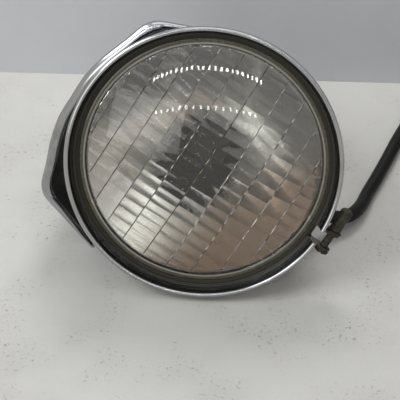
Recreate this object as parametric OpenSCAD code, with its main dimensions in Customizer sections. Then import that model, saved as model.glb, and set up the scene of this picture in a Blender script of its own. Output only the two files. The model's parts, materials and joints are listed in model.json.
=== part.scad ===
// Motorcycle headlamp with its hood bracket, lying face up on a table.
// Every piece of the lamp is drawn upright: lens towards -Y, lamp axis along Y and the
// front of the rim at y = 0. The module laid() turns it as it lies. Sizes in millimetres.

/* [Rim] */
// How far the chrome rim stands out past the edge of the glass
rim_over = 8; // [7.6:0.1:9]
// Radius of the rolled bead at the front of the rim
rim_bead_r = 1.5; // [1:0.1:1.8]
// Gap between the bucket's mouth and the edge that the rim turns in behind it
rim_back_gap = 0.4; // [0.2:0.1:0.8]
// Sheet thickness of the rim
rim_wall = 0.9; // [0.7:0.1:1.1]
// Width of the split at the clamp
split_gap = 8.5; // [7:0.5:10]

/* [Clamp] */
// Diameter of the clamp screw
screw_d = 5; // [4:0.5:5]
// Diameter of the screw's pan head
screw_head_d = 9; // [8.5:0.5:10]
// Distance of the screw's axis outside the rim
screw_drop = 5.2; // [5:0.2:6]
// Diameter of the barrel nut
barrel_d = 7.4; // [7:0.2:8]
// Length of the barrel nut
barrel_length = 15; // [12:0.5:18]
// Thickness of the two tabs on the rim
tab_wall = 1.6; // [1.2:0.1:2]
// Width of the two tabs along the lamp axis
tab_width = 10; // [9:0.5:12]

/* [Lamp unit] */
// Diameter over the glass flange
flange_d = 146; // [144:0.5:146.5]
// Thickness of the glass flange
flange_wall = 4; // [3:0.5:4]
// How far the flange lies behind the front of the rim
flange_back = 8.5; // [7.5:0.5:8.5]
// Width of the flat glass flange round the domed window
flange_width = 6; // [5.5:0.1:7]
// Height of the lens dome in front of the flange
dome_height = 11; // [9:0.5:12]
// Wall of the lens and the reflector
glass_wall = 3; // [2.4:0.1:3.2]
// How far inside the window's edge the reflector's mouth lies
mirror_inset = 2; // [1.8:0.1:3]
// Depth of the reflector behind the flange
reflector_depth = 60; // [58:0.5:60]
// Depth of a flute in the back of the lens
flute_depth = 0.8; // [0.4:0.1:1]
// Width of a flute
flute_pitch = 7; // [6:0.5:10]
// Diameter of the aiming pads on the flange
pad_d = 4.8; // [4:0.2:5]

/* [Seal] */
// Thickness of the black rubber in front of the flange
seal_lip = 0.8; // [0.5:0.1:1.2]
// Thickness of the black rubber round the flange
seal_wall = 3; // [2.6:0.1:3.2]

/* [Bucket] */
// How far inside the glass's edge the bucket's wall starts behind its mouth
bucket_ledge = 3.4; // [3.2:0.1:3.7]
// Radius at the end of the straight taper
bucket_back_r = 52; // [51:0.5:53]
// Where the taper ends behind the front of the rim
bucket_taper_end = 74; // [73:0.5:75]
// Room between the back of the reflector and the domed back
back_room = 36.5; // [34:0.5:40]
// Sheet thickness of the bucket
bucket_wall = 1.2; // [1:0.1:1.4]
// How far the harness hole lies behind the front of the rim
outlet_back = 51; // [50:0.5:52]

/* [Swivel] */
// How far the stud stands behind the back of the rim
stud_behind_rim = 54; // [53:0.5:55]
// Sideways place of the stud
stud_side = -8.5; // [-9:0.5:-8]
// Diameter of the stud
stud_d = 8; // [7:0.5:8]
// Diameter of the tilt bolt
tilt_bolt_d = 5; // [4:0.5:5]
// Gap between the reflector and the pocket pressed into the bucket
pocket_gap = 1.4; // [1.2:0.1:1.8]
// Length of the pocket along the lamp axis
pocket_l = 22; // [20:0.5:23]
// Sheet thickness of the pocket
pocket_wall = 1.6; // [1.2:0.1:1.8]
// Width of the swivel block
block_w = 12; // [11:0.5:12.5]
// How far the lamp is turned under the hood, in degrees
swivel_rest = 6; // [5:0.5:6]

/* [Hood] */
// Height of the hood's front edge over the tilt bolt
hood_rise = 43.5; // [43.3:0.1:44.5]
// How far the hood's front corners lie inside the rim's outside
hood_corner_inset = 14.9; // [14.4:0.1:15.3]
// How far the feet of the skirts stand outside the rim's outside
hood_foot_out = 1; // [0.8:0.1:1.2]
// Height at which the skirts end
hood_foot_z = 25.6; // [25.4:0.1:26.1]
// How far the front edge lies behind the back of the rim
hood_behind_rim = 8; // [8:0.5:10]
// Distance from the stud to the back edge
hood_tail = 50; // [46:1:56]
// Fall of the hood's top from front to back, per millimetre
hood_slope = 0.25; // [0.22:0.01:0.28]
// Wall of the hood casting
hood_wall = 2.4; // [2:0.1:2.6]
// Height of the chrome lip along the hood's front edge
lip_height = 6.5; // [5:0.5:7]
// Thickness of that lip from front to back
lip_depth = 3.4; // [2.6:0.2:4]
// Thickness of the pad that meets the fork clamp
foot_pad = 7; // [6:0.5:8]
// Distance between the two fork bolts
fork_bolt_spacing = 44.5; // [40:0.5:46]
// Diameter of the fork bolt holes
fork_bolt_d = 8.5; // [6.5:0.5:9]

/* [Harness] */
// Diameter of the black harness sleeve
sleeve_d = 8.5; // [7:0.5:9]
// Gap from turn to turn in the coil
turn_gap = 0.9; // [0.6:0.1:1.5]
// Turns in the coil
coil_turns = 2; // [1.5:0.25:2]
// Length of the plug's body
plug_length = 26; // [22:1:28]
// Width of the plug's body
plug_width = 16; // [14:0.5:18]
// Height of the plug's body
plug_height = 11; // [11:0.5:13]
// Width of the cable tie's strap
strap_width = 4.6; // [3.6:0.2:4.8]
// Thickness of the cable tie's strap
strap_wall = 1.1; // [1:0.1:1.3]

/* [Inside] */
// Diameter of the cap in front of the filaments
shield_d = 26; // [24:0.5:27]
// Depth of that cap
shield_depth = 7; // [6:0.5:8]
// Radius of the circle of its three carriers
post_circle_r = 11.2; // [10.6:0.1:11.4]
// Diameter of a carrier
post_d = 1.6; // [1.2:0.1:1.8]
// Width of the socket on the blades
socket_w = 26; // [24:0.5:28]
// Length of the socket along the lamp axis
socket_l = 20; // [18:0.5:22]
// Height of the socket
socket_h = 21; // [20:0.5:23]
// Width of a blade
blade_w = 8; // [6:0.5:8]
// Length of a blade
blade_l = 12; // [11:0.5:13]
// Length of the strain relief at the outlet
relief_length = 20; // [20:1:24]

/* [Pose] */
// Roll of the lamp on the table, in degrees
roll = 58.5; // [58:0.5:59]
// Upward tilt of the lamp's face, in degrees
tilt = 22.5; // [21.5:0.5:23.5]

/* [Hidden] */
$fn = 96;
clear = 0.3;
fit = 0.05;
flange_r = flange_d / 2;
rim_r = flange_r + rim_over;
flange_end = flange_back + flange_wall;
seal_r = flange_r + seal_wall;
mouth_r = seal_r + bucket_wall;
mouth_y = flange_end + 1;
rim_depth = mouth_y + bucket_wall + rim_wall + rim_back_gap;
window_r = flange_r - flange_width;
mirror_r = window_r - mirror_inset;
dome_r = (window_r * window_r + dome_height * dome_height) / (2 * dome_height);
focus = mirror_r * mirror_r / (4 * reflector_depth);
vertex_y = flange_end + reflector_depth;
blade_y = vertex_y + glass_wall;
bucket_front_r = flange_r - bucket_ledge;
bucket_end = blade_y + back_room;
stud_back = rim_depth + stud_behind_rim;
hood_reach = stud_behind_rim - hood_behind_rim;
hood_corner_x = rim_r - hood_corner_inset;
hood_foot_x = rim_r + hood_foot_out;
skirt_r = mouth_r + 0.25;
lift = (skirt_r + rim_wall) * cos(tilt) + rim_depth * sin(tilt);
// Brings the middle of the lamp's box over the origin.
shift_x = 5.7;
shift_y = -50;
clamp_z = -(rim_r + screw_drop);
clamp_y = rim_depth / 2;
taper_start = mouth_y + 6;
taper = (bucket_front_r - bucket_back_r) / (bucket_taper_end - taper_start);

// The lamp as it lies: rolled about its axis, face tilted up, rim on the table.
module laid() {
    translate([shift_x, shift_y, lift]) rotate([-tilt, 0, 0]) rotate([0, -roll, 0]) children();
}

// Where a point of the upright lamp lies on the table.
function lying(p) = let (x = p[0] * cos(roll) - p[2] * sin(roll), z = p[0] * sin(roll) + p[2] * cos(roll))
    [x + shift_x, p[1] * cos(tilt) + z * sin(tilt) + shift_y, -p[1] * sin(tilt) + z * cos(tilt) + lift];

// The hood's own frame: origin on the lamp axis under the stud, front towards -Y.
module under_hood() {
    laid() translate([stud_side, stud_back, 0]) rotate([0, 0, -swivel_rest]) children();
}

// Turns a profile of [radius, depth] points about the lamp axis.
module about_axis() { rotate([-90, 0, 0]) rotate_extrude() children(); }

module rod_x(p, d, h) { translate(p) rotate([0, 90, 0]) cylinder(d = d, h = h); }
module rod_y(p, d, h) { translate(p) rotate([-90, 0, 0]) cylinder(d = d, h = h); }
module rod_z(p, d, h) { translate(p) cylinder(d = d, h = h); }
module hex_x(p, af, h) { translate(p) rotate([0, 90, 0]) cylinder(d = af / cos(30), h = h, $fn = 6); }
module hex_z(p, af, h) { translate(p) cylinder(d = af / cos(30), h = h, $fn = 6); }

// Radius of the bucket's outside at a depth behind the rim.
function bucket_radius(y) =
    y < bucket_taper_end ? bucket_front_r - (y - taper_start) * taper
    : bucket_back_r * sqrt(max(0, 1 - pow((y - bucket_taper_end) / (bucket_end - bucket_taper_end), 2)));

// Inner radius of the reflector at a depth behind the rim.
function reflector_radius(y) = sqrt(4 * focus * max(0, vertex_y - y));

// The bucket and the pocket pressed into its top

pocket_w = block_w + 1.4;
block_drop = 4.2;
block_l = 13;
block_room = 1.2;
pocket_floor = reflector_radius(stud_back - pocket_l / 2 - pocket_wall) + glass_wall + pocket_gap + pocket_wall;
tilt_height = pocket_floor + block_room + block_drop;
hood_top_z = tilt_height + hood_rise;
hood_corner_z = hood_top_z - 19.6;

module bucket_profile(inset = 0) {
    dome = [for (a = [0:7.5:90]) [
        (bucket_back_r - inset) * cos(a),
        bucket_taper_end + (bucket_end - inset - bucket_taper_end) * sin(a)]];
    polygon(concat([[0, taper_start], [bucket_front_r - inset, taper_start]], dome));
}

module pocket_box(grow = 0) {
    translate([stud_side - pocket_w / 2 - grow, stud_back - pocket_l / 2 - grow, pocket_floor - grow])
        cube([pocket_w + 2 * grow, pocket_l + 2 * grow, 60]);
}

outlet_z = -bucket_radius(outlet_back);
outlet_hole_d = sleeve_d + 5;
outlet_lean = atan(taper);
module outlet_axis() { translate([0, outlet_back, outlet_z]) rotate([180 + outlet_lean, 0, 0]) children(); }

module bucket() {
    color("silver") laid() difference() {
        union() {
            about_axis() difference() {
                bucket_profile();
                bucket_profile(bucket_wall);
            }
            about_axis() polygon([
                [bucket_front_r - bucket_wall, mouth_y], [mouth_r, mouth_y],
                [mouth_r, mouth_y + bucket_wall], [bucket_front_r, mouth_y + bucket_wall],
                [bucket_front_r, taper_start], [bucket_front_r - bucket_wall, taper_start],
            ]);
        }
        pocket_box(pocket_wall);
        tilt_bolt_room();
        outlet_axis() translate([0, 0, -10]) cylinder(d = outlet_hole_d, h = 20);
    }
}

// Room for the tilt bolt's head and nut beside the pocket
module tilt_bolt_room() {
    side = stud_side - pocket_w / 2 - pocket_wall;
    past = stud_side + pocket_w / 2 + pocket_wall;
    rod_x([side - 3 - fit, stud_back, tilt_height], 7 + 2 * fit, 3 + fit);
    rod_x([side, stud_back, tilt_height], tilt_bolt_d + 2 * fit, past - side + 5.5 + fit);
    hex_x([past, stud_back, tilt_height], 8 + 2 * fit, 4 + fit);
}

module swivel_pocket() {
    color("dimgray") laid() difference() {
        intersection() {
            pocket_box(pocket_wall);
            about_axis() bucket_profile();
        }
        pocket_box();
        rod_x([stud_side - 40, stud_back, tilt_height], tilt_bolt_d + 2 * fit, 80);
    }
}

// Rim with its two tabs

lip_r = seal_r - 1.4;
lip_y = flange_back - seal_lip;

module trim_ring() {
    bead = [for (a = [-20:20:200]) [
        rim_r - rim_bead_r + rim_bead_r * cos(a), rim_bead_r - rim_bead_r * sin(a)]];
    color("gainsboro") laid() difference() {
        union() {
            about_axis() polygon(concat(
                [[skirt_r - 1.5, rim_depth], [skirt_r + rim_wall, rim_depth],
                 [skirt_r + rim_wall + 0.3, rim_depth * 0.6], [rim_r - 1.2, rim_depth * 0.3]],
                bead,
                [[rim_r - 3.6, rim_depth * 0.26], [lip_r + 1.2, lip_y - rim_wall], [lip_r, lip_y - rim_wall],
                 [lip_r, lip_y], [skirt_r, lip_y], [skirt_r, rim_depth - rim_wall],
                 [skirt_r - 1.5, rim_depth - rim_wall]]));
            for (side = [-1, 1])
                translate([side * (split_gap + tab_wall) / 2 - tab_wall / 2, clamp_y - tab_width / 2, clamp_z - 4.5])
                    cube([tab_wall, tab_width, rim_r - skirt_r + screw_drop + 4.2]);
        }
        translate([-split_gap / 2, -5, -rim_r - 20]) cube([split_gap, rim_depth + 10, 60]);
        rod_x([-20, clamp_y, clamp_z], screw_d + 2 * fit, 40);
    }
}

head_x = -(split_gap / 2 + tab_wall);
nut_x = split_gap / 2 + tab_wall + 1;

module clamp_screw() {
    color("gray") laid() difference() {
        union() {
            rod_x([head_x - 2.9, clamp_y, clamp_z], screw_head_d, 2.9);
            rod_x([head_x - 0.5, clamp_y, clamp_z], screw_d, nut_x + 10 - head_x + 0.5);
        }
        translate([head_x - 3.9, clamp_y - screw_head_d, clamp_z - 0.6]) cube([2.2, 2 * screw_head_d, 1.2]);
    }
}

module clamp_washer() {
    color("gray") laid() difference() {
        rod_x([split_gap / 2 + tab_wall, clamp_y, clamp_z], screw_head_d + 1, 1);
        rod_x([0, clamp_y, clamp_z], screw_d + 2 * fit, 20);
    }
}

module clamp_nut() {
    color("gray") laid() difference() {
        rod_x([nut_x, clamp_y, clamp_z], barrel_d, barrel_length);
        rod_x([nut_x - 1, clamp_y, clamp_z], screw_d + 2 * fit, barrel_length - 1);
    }
}

// Sealed lamp unit in its rubber, which covers only the edge of the glass
seal_cover = 0.4;

module seal_ring() {
    color("black") laid() about_axis() polygon([
        [flange_r - seal_cover, lip_y], [seal_r, lip_y], [seal_r, mouth_y], [bucket_front_r - 1, mouth_y],
        [bucket_front_r - 1, flange_end], [flange_r, flange_end], [flange_r, flange_back],
        [flange_r - seal_cover, flange_back],
    ]);
}

// Lens: a domed shell whose back carries upright flutes and the lines between rows.
function dome_front(r) = flange_back - dome_height + dome_r - sqrt(dome_r * dome_r - r * r);
module dome_back(depth) {
    arc = [for (i = [0:6]) let (r = (mirror_r - 2) * i / 6) [r, dome_front(r) + glass_wall - depth]];
    polygon(concat(arc, [[mirror_r, flange_end - 1], [mirror_r, flange_end + 5], [0, flange_end + 5]]));
}

module lens() {
    color("lightblue") laid() {
        difference() {
            about_axis() polygon(concat(
                [for (i = [0:8]) [window_r * i / 8, dome_front(window_r * i / 8)]],
                [[flange_r, flange_back], [flange_r, flange_end], [0, flange_end]]));
            about_axis() dome_back(0);
            intersection() {
                about_axis() dome_back(flute_depth);
                union() {
                    for (x = [-8:8])
                        translate([x * flute_pitch - 0.5, -20, -window_r + 9])
                            cube([1, 40, 2 * window_r - 18]);
                    for (z = [-2:2])
                        translate([-window_r + 9, -20, z * 27 - 1]) cube([2 * window_r - 18, 40, 1]);
                }
            }
        }
        for (a = [-86, 36, 144])
            rotate([0, -a, 0]) rod_y([flange_r - seal_cover - 0.1 - pad_d / 2, flange_back - 1, 0], pad_d, 2);
    }
}

module reflector() {
    inner = [for (i = [0:15]) [mirror_r * (1 - i / 15) + 8 * i / 15,
        vertex_y - pow(mirror_r * (1 - i / 15) + 8 * i / 15, 2) / (4 * focus)]];
    outer = [for (i = [15:-1:0]) let (r = inner[i][0], s = sqrt(4 * focus * focus + r * r))
        [r + glass_wall * 2 * focus / s, inner[i][1] + glass_wall * r / s]];
    color("whitesmoke") laid() about_axis() polygon(concat(
        [[mirror_r, flange_end]],
        [for (i = [1:15]) inner[i]],
        [[0, vertex_y - 1], [0, vertex_y + glass_wall]],
        [for (i = [0:14]) outer[i]],
        [[mirror_r + glass_wall, flange_end]]));
}

shield_y = vertex_y - 30;

module glare_shield() {
    color("dimgray") laid() difference() {
        rod_y([0, shield_y, 0], shield_d, shield_depth);
        rod_y([0, shield_y + 1, 0], shield_d - 2, shield_depth);
    }
}

post_length = vertex_y - pow(post_circle_r + post_d / 2, 2) / (4 * focus) - 0.05 - shield_y - 1;

module filament_posts() {
    color("silver") laid() {
        for (a = [90, 210, 330])
            rotate([0, -a, 0]) rod_y([post_circle_r, shield_y + 1, 0], post_d, post_length);
    }
}

module filaments() {
    color("gold") laid() for (z = [-3, 3]) {
        rod_x([-5, shield_y + 12, z], 1.2, 10);
        rotate([0, 0, 0]) rod_y([-5, shield_y + 1, z], 0.8, 11.5);
        rod_y([5, shield_y + 1, z], 0.8, 11.5);
    }
}

module blades() {
    for (side = [-1, 1])
        translate([side * blade_w - 0.5, blade_y, -blade_w / 2]) cube([1, blade_l, blade_w]);
    translate([-blade_w / 2, blade_y, blade_w]) cube([blade_w, blade_l, 1]);
}

module terminals() {
    color("goldenrod") laid() {
        blades();
    }
}

socket_z = -blade_w;

module connector() {
    color("#222222") laid() difference() {
        translate([-socket_w / 2, blade_y + 2, socket_z]) cube([socket_w, socket_l, socket_h]);
        blades();
    }
}

// Tubes that follow points: rings of a regular polygon square to the path

function unit(v) = v / norm(v);
function cross_or(a, b) = norm(cross(a, b)) < 0.001 ? cross(a, [0, 1, 0.01]) : cross(a, b);
function ring(c, along, r, n) =
    let (side = unit(cross_or(along, [0, 0, 1])), up = unit(cross(side, along)))
    [for (k = [0:n - 1]) c + r * (sin(k * 360 / n) * side - cos(k * 360 / n) * up)];
function heading(p, i) =
    i == 0 ? p[1] - p[0] : i == len(p) - 1 ? p[i] - p[i - 1]
    : unit(p[i] - p[i - 1]) + unit(p[i + 1] - p[i]);

module tube(p, r, n) {
    last = len(p) - 1;
    points = [for (i = [0:last]) for (q = ring(p[i], unit(heading(p, i)), r, n)) q];
    walls = [for (i = [0:last - 1]) for (k = [0:n - 1])
        let (a = i * n + k, b = i * n + (k + 1) % n)
        for (f = [[a, b + n, a + n], [a, b, b + n]]) f];
    caps = concat(
        [for (k = [1:n - 2]) [0, k + 1, k]],
        [for (k = [1:n - 2]) [last * n, last * n + k, last * n + k + 1]]);
    polyhedron(points, concat(walls, caps));
}

// A smooth run through hand placed points, with a few steps between each pair.
function blend_at(p, i, t) = let (
        a = p[max(0, i - 1)], b = p[i], c = p[i + 1], d = p[min(len(p) - 1, i + 2)])
    0.5 * (2 * b + (c - a) * t + (2 * a - 5 * b + 4 * c - d) * t * t + (3 * b - a - 3 * c + d) * t * t * t);
function smooth(p, steps) = concat(
    [for (i = [0:len(p) - 2]) for (k = [0:steps - 1]) blend_at(p, i, k / steps)], [p[len(p) - 1]]);

// Harness: outlet in the bucket, sleeve on the table, coil and plug

sleeve_r = sleeve_d / 2;

module grommet() {
    hole_r = outlet_hole_d / 2;
    neck_r = hole_r - fit;
    inside = -bucket_wall - 0.8;
    color("black") laid() outlet_axis() rotate_extrude() polygon([
        [sleeve_r, inside - 1.6], [hole_r + 1.8, inside - 1.6], [hole_r + 1.8, inside], [neck_r, inside],
        [neck_r, 0.1], [hole_r + 1.8, 0.1], [hole_r + 1.8, 1.9], [hole_r - 0.6, 4.5],
        [sleeve_r + 1.2, relief_length], [0, relief_length], [0, 6], [sleeve_r, 6],
    ]);
}

// Places on the table that the sleeve runs through, and the middle of its coil
floor_z = sleeve_r + 0.05;
coil_step = sleeve_d + turn_gap;
sleeve_places = [
    [85.4, -11, 10.6], [91.8, -8, 8.4], [97, -2.5, 7], [101, 4.5, 5.8], [103.8, 11.5, 4.8],
    [106.5, 20, floor_z], [113.5, 37.5, floor_z], [120.5, 56, floor_z], [127, 74, floor_z],
    [132.3, 87.5, floor_z],
];
coil_centre = [196, 88];
coil_r = 58;
coil_from = 155;
curl_r = 22;
curl_turn = 110;
curl_steps = 6;
strap_angle = 55;
plug_axis_z = plug_height / 2;

outlet_end = lying([0, outlet_back + relief_length * sin(outlet_lean), outlet_z - relief_length * cos(outlet_lean)]);
outlet_way = (outlet_end - lying([0, outlet_back, outlet_z])) / relief_length;

// Middle of the coil's tube at an angle, with the rise over the strap of the tie.
function on_floor(a) = floor_z + strap_wall * pow(max(0, cos(a - strap_angle)), 8);
function coil_at(k) = let (a = coil_from - k * 15, r = coil_r - coil_step * k / 24)
    [coil_centre[0] + r * cos(a), coil_centre[1] + r * sin(a), on_floor(a)];
coil_way = [sin(coil_from), -cos(coil_from), 0];
coil_start = coil_at(0);
coil_last = round(24 * coil_turns);
inner_angle = coil_from - coil_last * 15;
inner_r = coil_r - coil_step * coil_last / 24;
curl_centre = [
    coil_centre[0] + (inner_r - curl_r) * cos(inner_angle),
    coil_centre[1] + (inner_r - curl_r) * sin(inner_angle)];
function curl_at(k) = let (t = k / curl_steps, a = inner_angle - t * curl_turn,
        z = on_floor(inner_angle) + (plug_axis_z - on_floor(inner_angle)) * t * t * (3 - 2 * t))
    [curl_centre[0] + curl_r * cos(a), curl_centre[1] + curl_r * sin(a), z];
plug_turn = inner_angle - curl_turn;
plug_way = [sin(plug_turn), -cos(plug_turn), 0];
plug_start = curl_at(curl_steps) + sleeve_d * plug_way;

coil_path = concat(
    [coil_start - sleeve_d * coil_way], [for (k = [0:coil_last]) coil_at(k)],
    [for (k = [1:curl_steps]) curl_at(k)], [plug_start]);

// The coil's least gap to itself, measured between points three or more diameters along.
coil_gap = min([for (i = [0:len(coil_path) - 2]) for (j = [i + 4:len(coil_path) - 1])
    if (j < len(coil_path)) norm(coil_path[i] - coil_path[j]) - sleeve_d]);
echo(coil_gap_mm = coil_gap);
sleeve_path = concat([outlet_end, outlet_end + sleeve_d * outlet_way],
    smooth(sleeve_places, 1), [coil_path[0] - sleeve_d * coil_way, coil_path[0]]);
echo(sleeve_mm = path_length(sleeve_path), coil_mm = path_length(coil_path));

function path_length(p, i = 1) = i >= len(p) ? 0 : norm(p[i] - p[i - 1]) + path_length(p, i + 1);

module harness_sleeve() { color("black") tube(sleeve_path, sleeve_r, 8); }

module harness_coil() { color("black") tube(coil_path, sleeve_r, 6); }

// Cable tie round the two strands that lie side by side
module coil_tie() {
    far = coil_from - strap_angle;
    outer_r = coil_r - coil_step * far / 360;
    inside_r = outer_r - coil_step;
    hole = sleeve_r + 0.5;
    z = hole + strap_wall;
    color("white") translate([coil_centre[0], coil_centre[1], 0]) rotate([0, 0, strap_angle]) {
        translate([0, strap_width / 2, 0]) rotate([90, 0, 0]) linear_extrude(strap_width) difference() {
            union() {
                for (r = [inside_r, outer_r]) translate([r, z]) circle(hole + strap_wall);
                translate([inside_r, 0]) square([coil_step, 2 * z]);
            }
            for (r = [inside_r, outer_r]) translate([r, z]) circle(hole);
            translate([inside_r, strap_wall]) square([coil_step, 2 * hole]);
        }
        translate([outer_r - 3, -3.6, 2 * z]) cube([6, 7.2, 4.4]);
        translate([outer_r + 3, -strap_width / 2, 2 * z + 1.4]) cube([9, strap_width, strap_wall]);
    }
}

// Plug: a collar, a body with three slots and a latch
module harness_plug() {
    color("black") translate(plug_start) rotate([0, 0, plug_turn + 180]) difference() {
        union() {
            rod_y([0, 0, 0], plug_height, 6);
            translate([-plug_width / 2, 5, -plug_axis_z]) cube([plug_width, plug_length - 5, plug_height]);
            translate([-2.5, plug_length - 13, plug_axis_z - 0.5]) cube([5, 11, 2]);
        }
        for (x = [-1, 0, 1])
            translate([x * plug_width / 3.6 - 0.6, plug_length - 9, -3]) cube([1.2, 10, 6]);
    }
}

wire_y = blade_y + socket_l - 2;

module inner_wires() {
    tints = ["yellow", "white", "black"];
    for (i = [0:2])
        color(tints[i]) laid() tube(smooth([
            [(i - 1) * 5, wire_y, socket_z - 0.3], [(i - 1) * 5, wire_y, socket_z - 6],
            [(i - 1) * 4, wire_y - 4, socket_z - 16],
            [(i - 1) * 3.4, blade_y + 2, -38], [(i - 1) * 3, outlet_back + 10, -46], [(i - 1) * 3, outlet_back, -50],
            [(i - 1) * 2.6, outlet_back - 1.4, outlet_z + 4.2]], 3), 1.2, 8);
}

// Swivel block with its stud, tilt bolt and locknut

stud_base = tilt_height + 9;
boss_z = hood_top_z - 17.4;
plate_z = hood_top_z - hood_reach * hood_slope;

module swivel_block() {
    color("dimgray") laid() translate([stud_side, stud_back, 0]) difference() {
        union() {
            translate([-block_w / 2, -block_l / 2, tilt_height - block_drop]) cube([block_w, block_l, stud_base - tilt_height + block_drop]);
            rod_z([0, 0, stud_base - 1], stud_d, plate_z - hood_wall - stud_base - 0.6);
        }
        rod_x([-block_w, 0, tilt_height], tilt_bolt_d + 2 * fit, 2 * block_w);
    }
}

module tilt_bolt() {
    side = stud_side - pocket_w / 2 - pocket_wall;
    color("silver") laid() {
        rod_x([side - 3, stud_back, tilt_height], 7, 3);
        rod_x([side - 1, stud_back, tilt_height], tilt_bolt_d, pocket_w + 2 * pocket_wall + 6.5);
    }
}

module tilt_nut() {
    color("silver") laid() difference() {
        hex_x([stud_side + pocket_w / 2 + pocket_wall, stud_back, tilt_height], 8, 4);
        rod_x([stud_side, stud_back, tilt_height], tilt_bolt_d + 2 * fit, 40);
    }
}

module stud_nut() {
    color("silver") laid() difference() {
        hex_z([stud_side, stud_back, boss_z - 5.6], 13, 4.6);
        rod_z([stud_side, stud_back, stud_base], stud_d + 2 * fit, 40);
    }
}

module stud_washer() {
    color("silver") laid() difference() {
        rod_z([stud_side, stud_back, boss_z - 1], 16, 1);
        rod_z([stud_side, stud_back, stud_base], stud_d + 2 * fit, 40);
    }
}

// Hood: an arched casting that narrows towards the fork clamp

function arch(corner_x, top_z, corner_z, foot_x, foot_z, inset) = let (
        h = top_z - corner_z, w = corner_x - inset, f = foot_x - inset, t = top_z - inset)
    [for (p = [[0.24, 0.05], [0.48, 0.23], [0.71, 0.5], [0.86, 0.66], [0.94, 0.8], [1, 1]])
        [w * p[0], t - h * p[1]]];

// The skirt is straight from the knee to the foot, and a cut goes on below it in the same line.
function hood_half(corner_x, top_z, corner_z, foot_x, foot_z, inset, below = 0) = let (
        knee = [corner_x + (foot_x - corner_x) * 0.17, corner_z - 5.8],
        low = knee + (1 + below / (knee[1] - foot_z)) * ([foot_x, foot_z] - knee))
    concat(
        arch(corner_x, top_z, corner_z, foot_x, foot_z, inset),
        [[knee[0] - inset, knee[1]], [low[0] - inset, low[1]]]);

module hood_slice(corner_x, top_z, corner_z, foot_x, foot_z, inset, below) {
    half = hood_half(corner_x, top_z, corner_z, foot_x, foot_z, inset, below);
    n = len(half) - 1;
    rotate([90, 0, 0]) linear_extrude(0.2, center = true)
        polygon(concat(half, [for (i = [n:-1:0]) [-half[i][0], half[i][1]]]));
}

front_lean = 10.3;
tail_z = hood_top_z - (hood_reach + hood_tail) * hood_slope;

module hood_body(inset, past, below) {
    hull() {
        translate([0, hood_top_z * sin(front_lean) - hood_reach - past, 0]) rotate([front_lean, 0, 0])
            hood_slice(hood_corner_x, hood_top_z, hood_corner_z, hood_foot_x, hood_foot_z, inset, below);
        translate([0, hood_tail + past, 0])
            hood_slice(42, tail_z, tail_z - 8, 46, tail_z - 20, inset, below);
    }
}

// The lip narrows down the skirts to the thickness of the wall.
module hood_lip() {
    outer = hood_half(hood_corner_x, hood_top_z, hood_corner_z, hood_foot_x, hood_foot_z, 0);
    foot = outer[len(outer) - 1];
    knee = outer[len(outer) - 2];
    half_way = knee + 0.4 * (foot - knee);
    low = foot - 0.05 * (foot - knee);
    inner = concat(
        arch(hood_corner_x - lip_height, hood_top_z - lip_height, hood_corner_z, 0, 0, 0),
        [[half_way[0] - hood_wall, half_way[1]], [foot[0] - hood_wall, foot[1] - 1]]);
    translate([0, hood_top_z * sin(front_lean) - hood_reach + lip_depth / 2, 0]) rotate([front_lean + 90, 0, 0])
        linear_extrude(lip_depth, center = true) difference() {
            lip_outline(concat([for (i = [0:len(outer) - 2]) outer[i]], [low]));
            lip_outline(inner);
        }
}
module lip_outline(half) {
    n = len(half) - 1;
    polygon(concat(half, [for (i = [n:-1:0]) [-half[i][0], half[i][1]]]));
}

module hood() {
    color("silver") under_hood() difference() {
        union() {
            difference() {
                hood_body(0, 0, 0);
                hood_body(hood_wall, 1, 30);
            }
            hood_lip();
            intersection() {
                union() {
                    rod_z([0, 0, boss_z], 22, 30);
                    translate([-34, hood_tail - 22, tail_z - foot_pad - 4]) cube([68, 22, 30]);
                }
                hood_body(0.5, 0, 0);
            }
        }
        rod_z([0, 0, boss_z - 1], stud_d + 2 * fit, plate_z - hood_wall - boss_z - 0.4);
        for (x = [-1, 1])
            rod_z([x * fork_bolt_spacing / 2, hood_tail - 11, 0], fork_bolt_d, 90);
    }
}

bucket();
swivel_pocket();
grommet();
harness_sleeve();
harness_coil();
harness_plug();
coil_tie();
trim_ring();
clamp_screw();
clamp_nut();
clamp_washer();
seal_ring();
lens();
reflector();
glare_shield();
filament_posts();
filaments();
terminals();
connector();
inner_wires();
tilt_bolt();
tilt_nut();
swivel_block();
stud_nut();
stud_washer();
hood();
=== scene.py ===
import json
import math

import bmesh
import bpy
from mathutils import Matrix, Vector

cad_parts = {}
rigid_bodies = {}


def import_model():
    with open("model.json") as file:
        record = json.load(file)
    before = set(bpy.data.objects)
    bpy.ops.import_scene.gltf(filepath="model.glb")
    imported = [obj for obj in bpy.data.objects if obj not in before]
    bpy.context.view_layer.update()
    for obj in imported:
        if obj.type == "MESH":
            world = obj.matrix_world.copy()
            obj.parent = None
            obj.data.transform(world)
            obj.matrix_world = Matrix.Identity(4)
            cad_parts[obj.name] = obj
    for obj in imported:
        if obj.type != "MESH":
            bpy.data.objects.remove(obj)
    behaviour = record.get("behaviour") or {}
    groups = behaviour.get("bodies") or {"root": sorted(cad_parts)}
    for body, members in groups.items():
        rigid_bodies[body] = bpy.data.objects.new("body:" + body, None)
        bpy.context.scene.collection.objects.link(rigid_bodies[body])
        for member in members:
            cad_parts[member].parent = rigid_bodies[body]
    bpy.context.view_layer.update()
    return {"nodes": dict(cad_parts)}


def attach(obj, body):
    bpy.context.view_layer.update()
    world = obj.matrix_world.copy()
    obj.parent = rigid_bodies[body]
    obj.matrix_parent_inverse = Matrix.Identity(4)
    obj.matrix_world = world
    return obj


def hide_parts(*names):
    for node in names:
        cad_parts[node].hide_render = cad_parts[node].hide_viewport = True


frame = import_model()
print("frame loaded")

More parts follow.
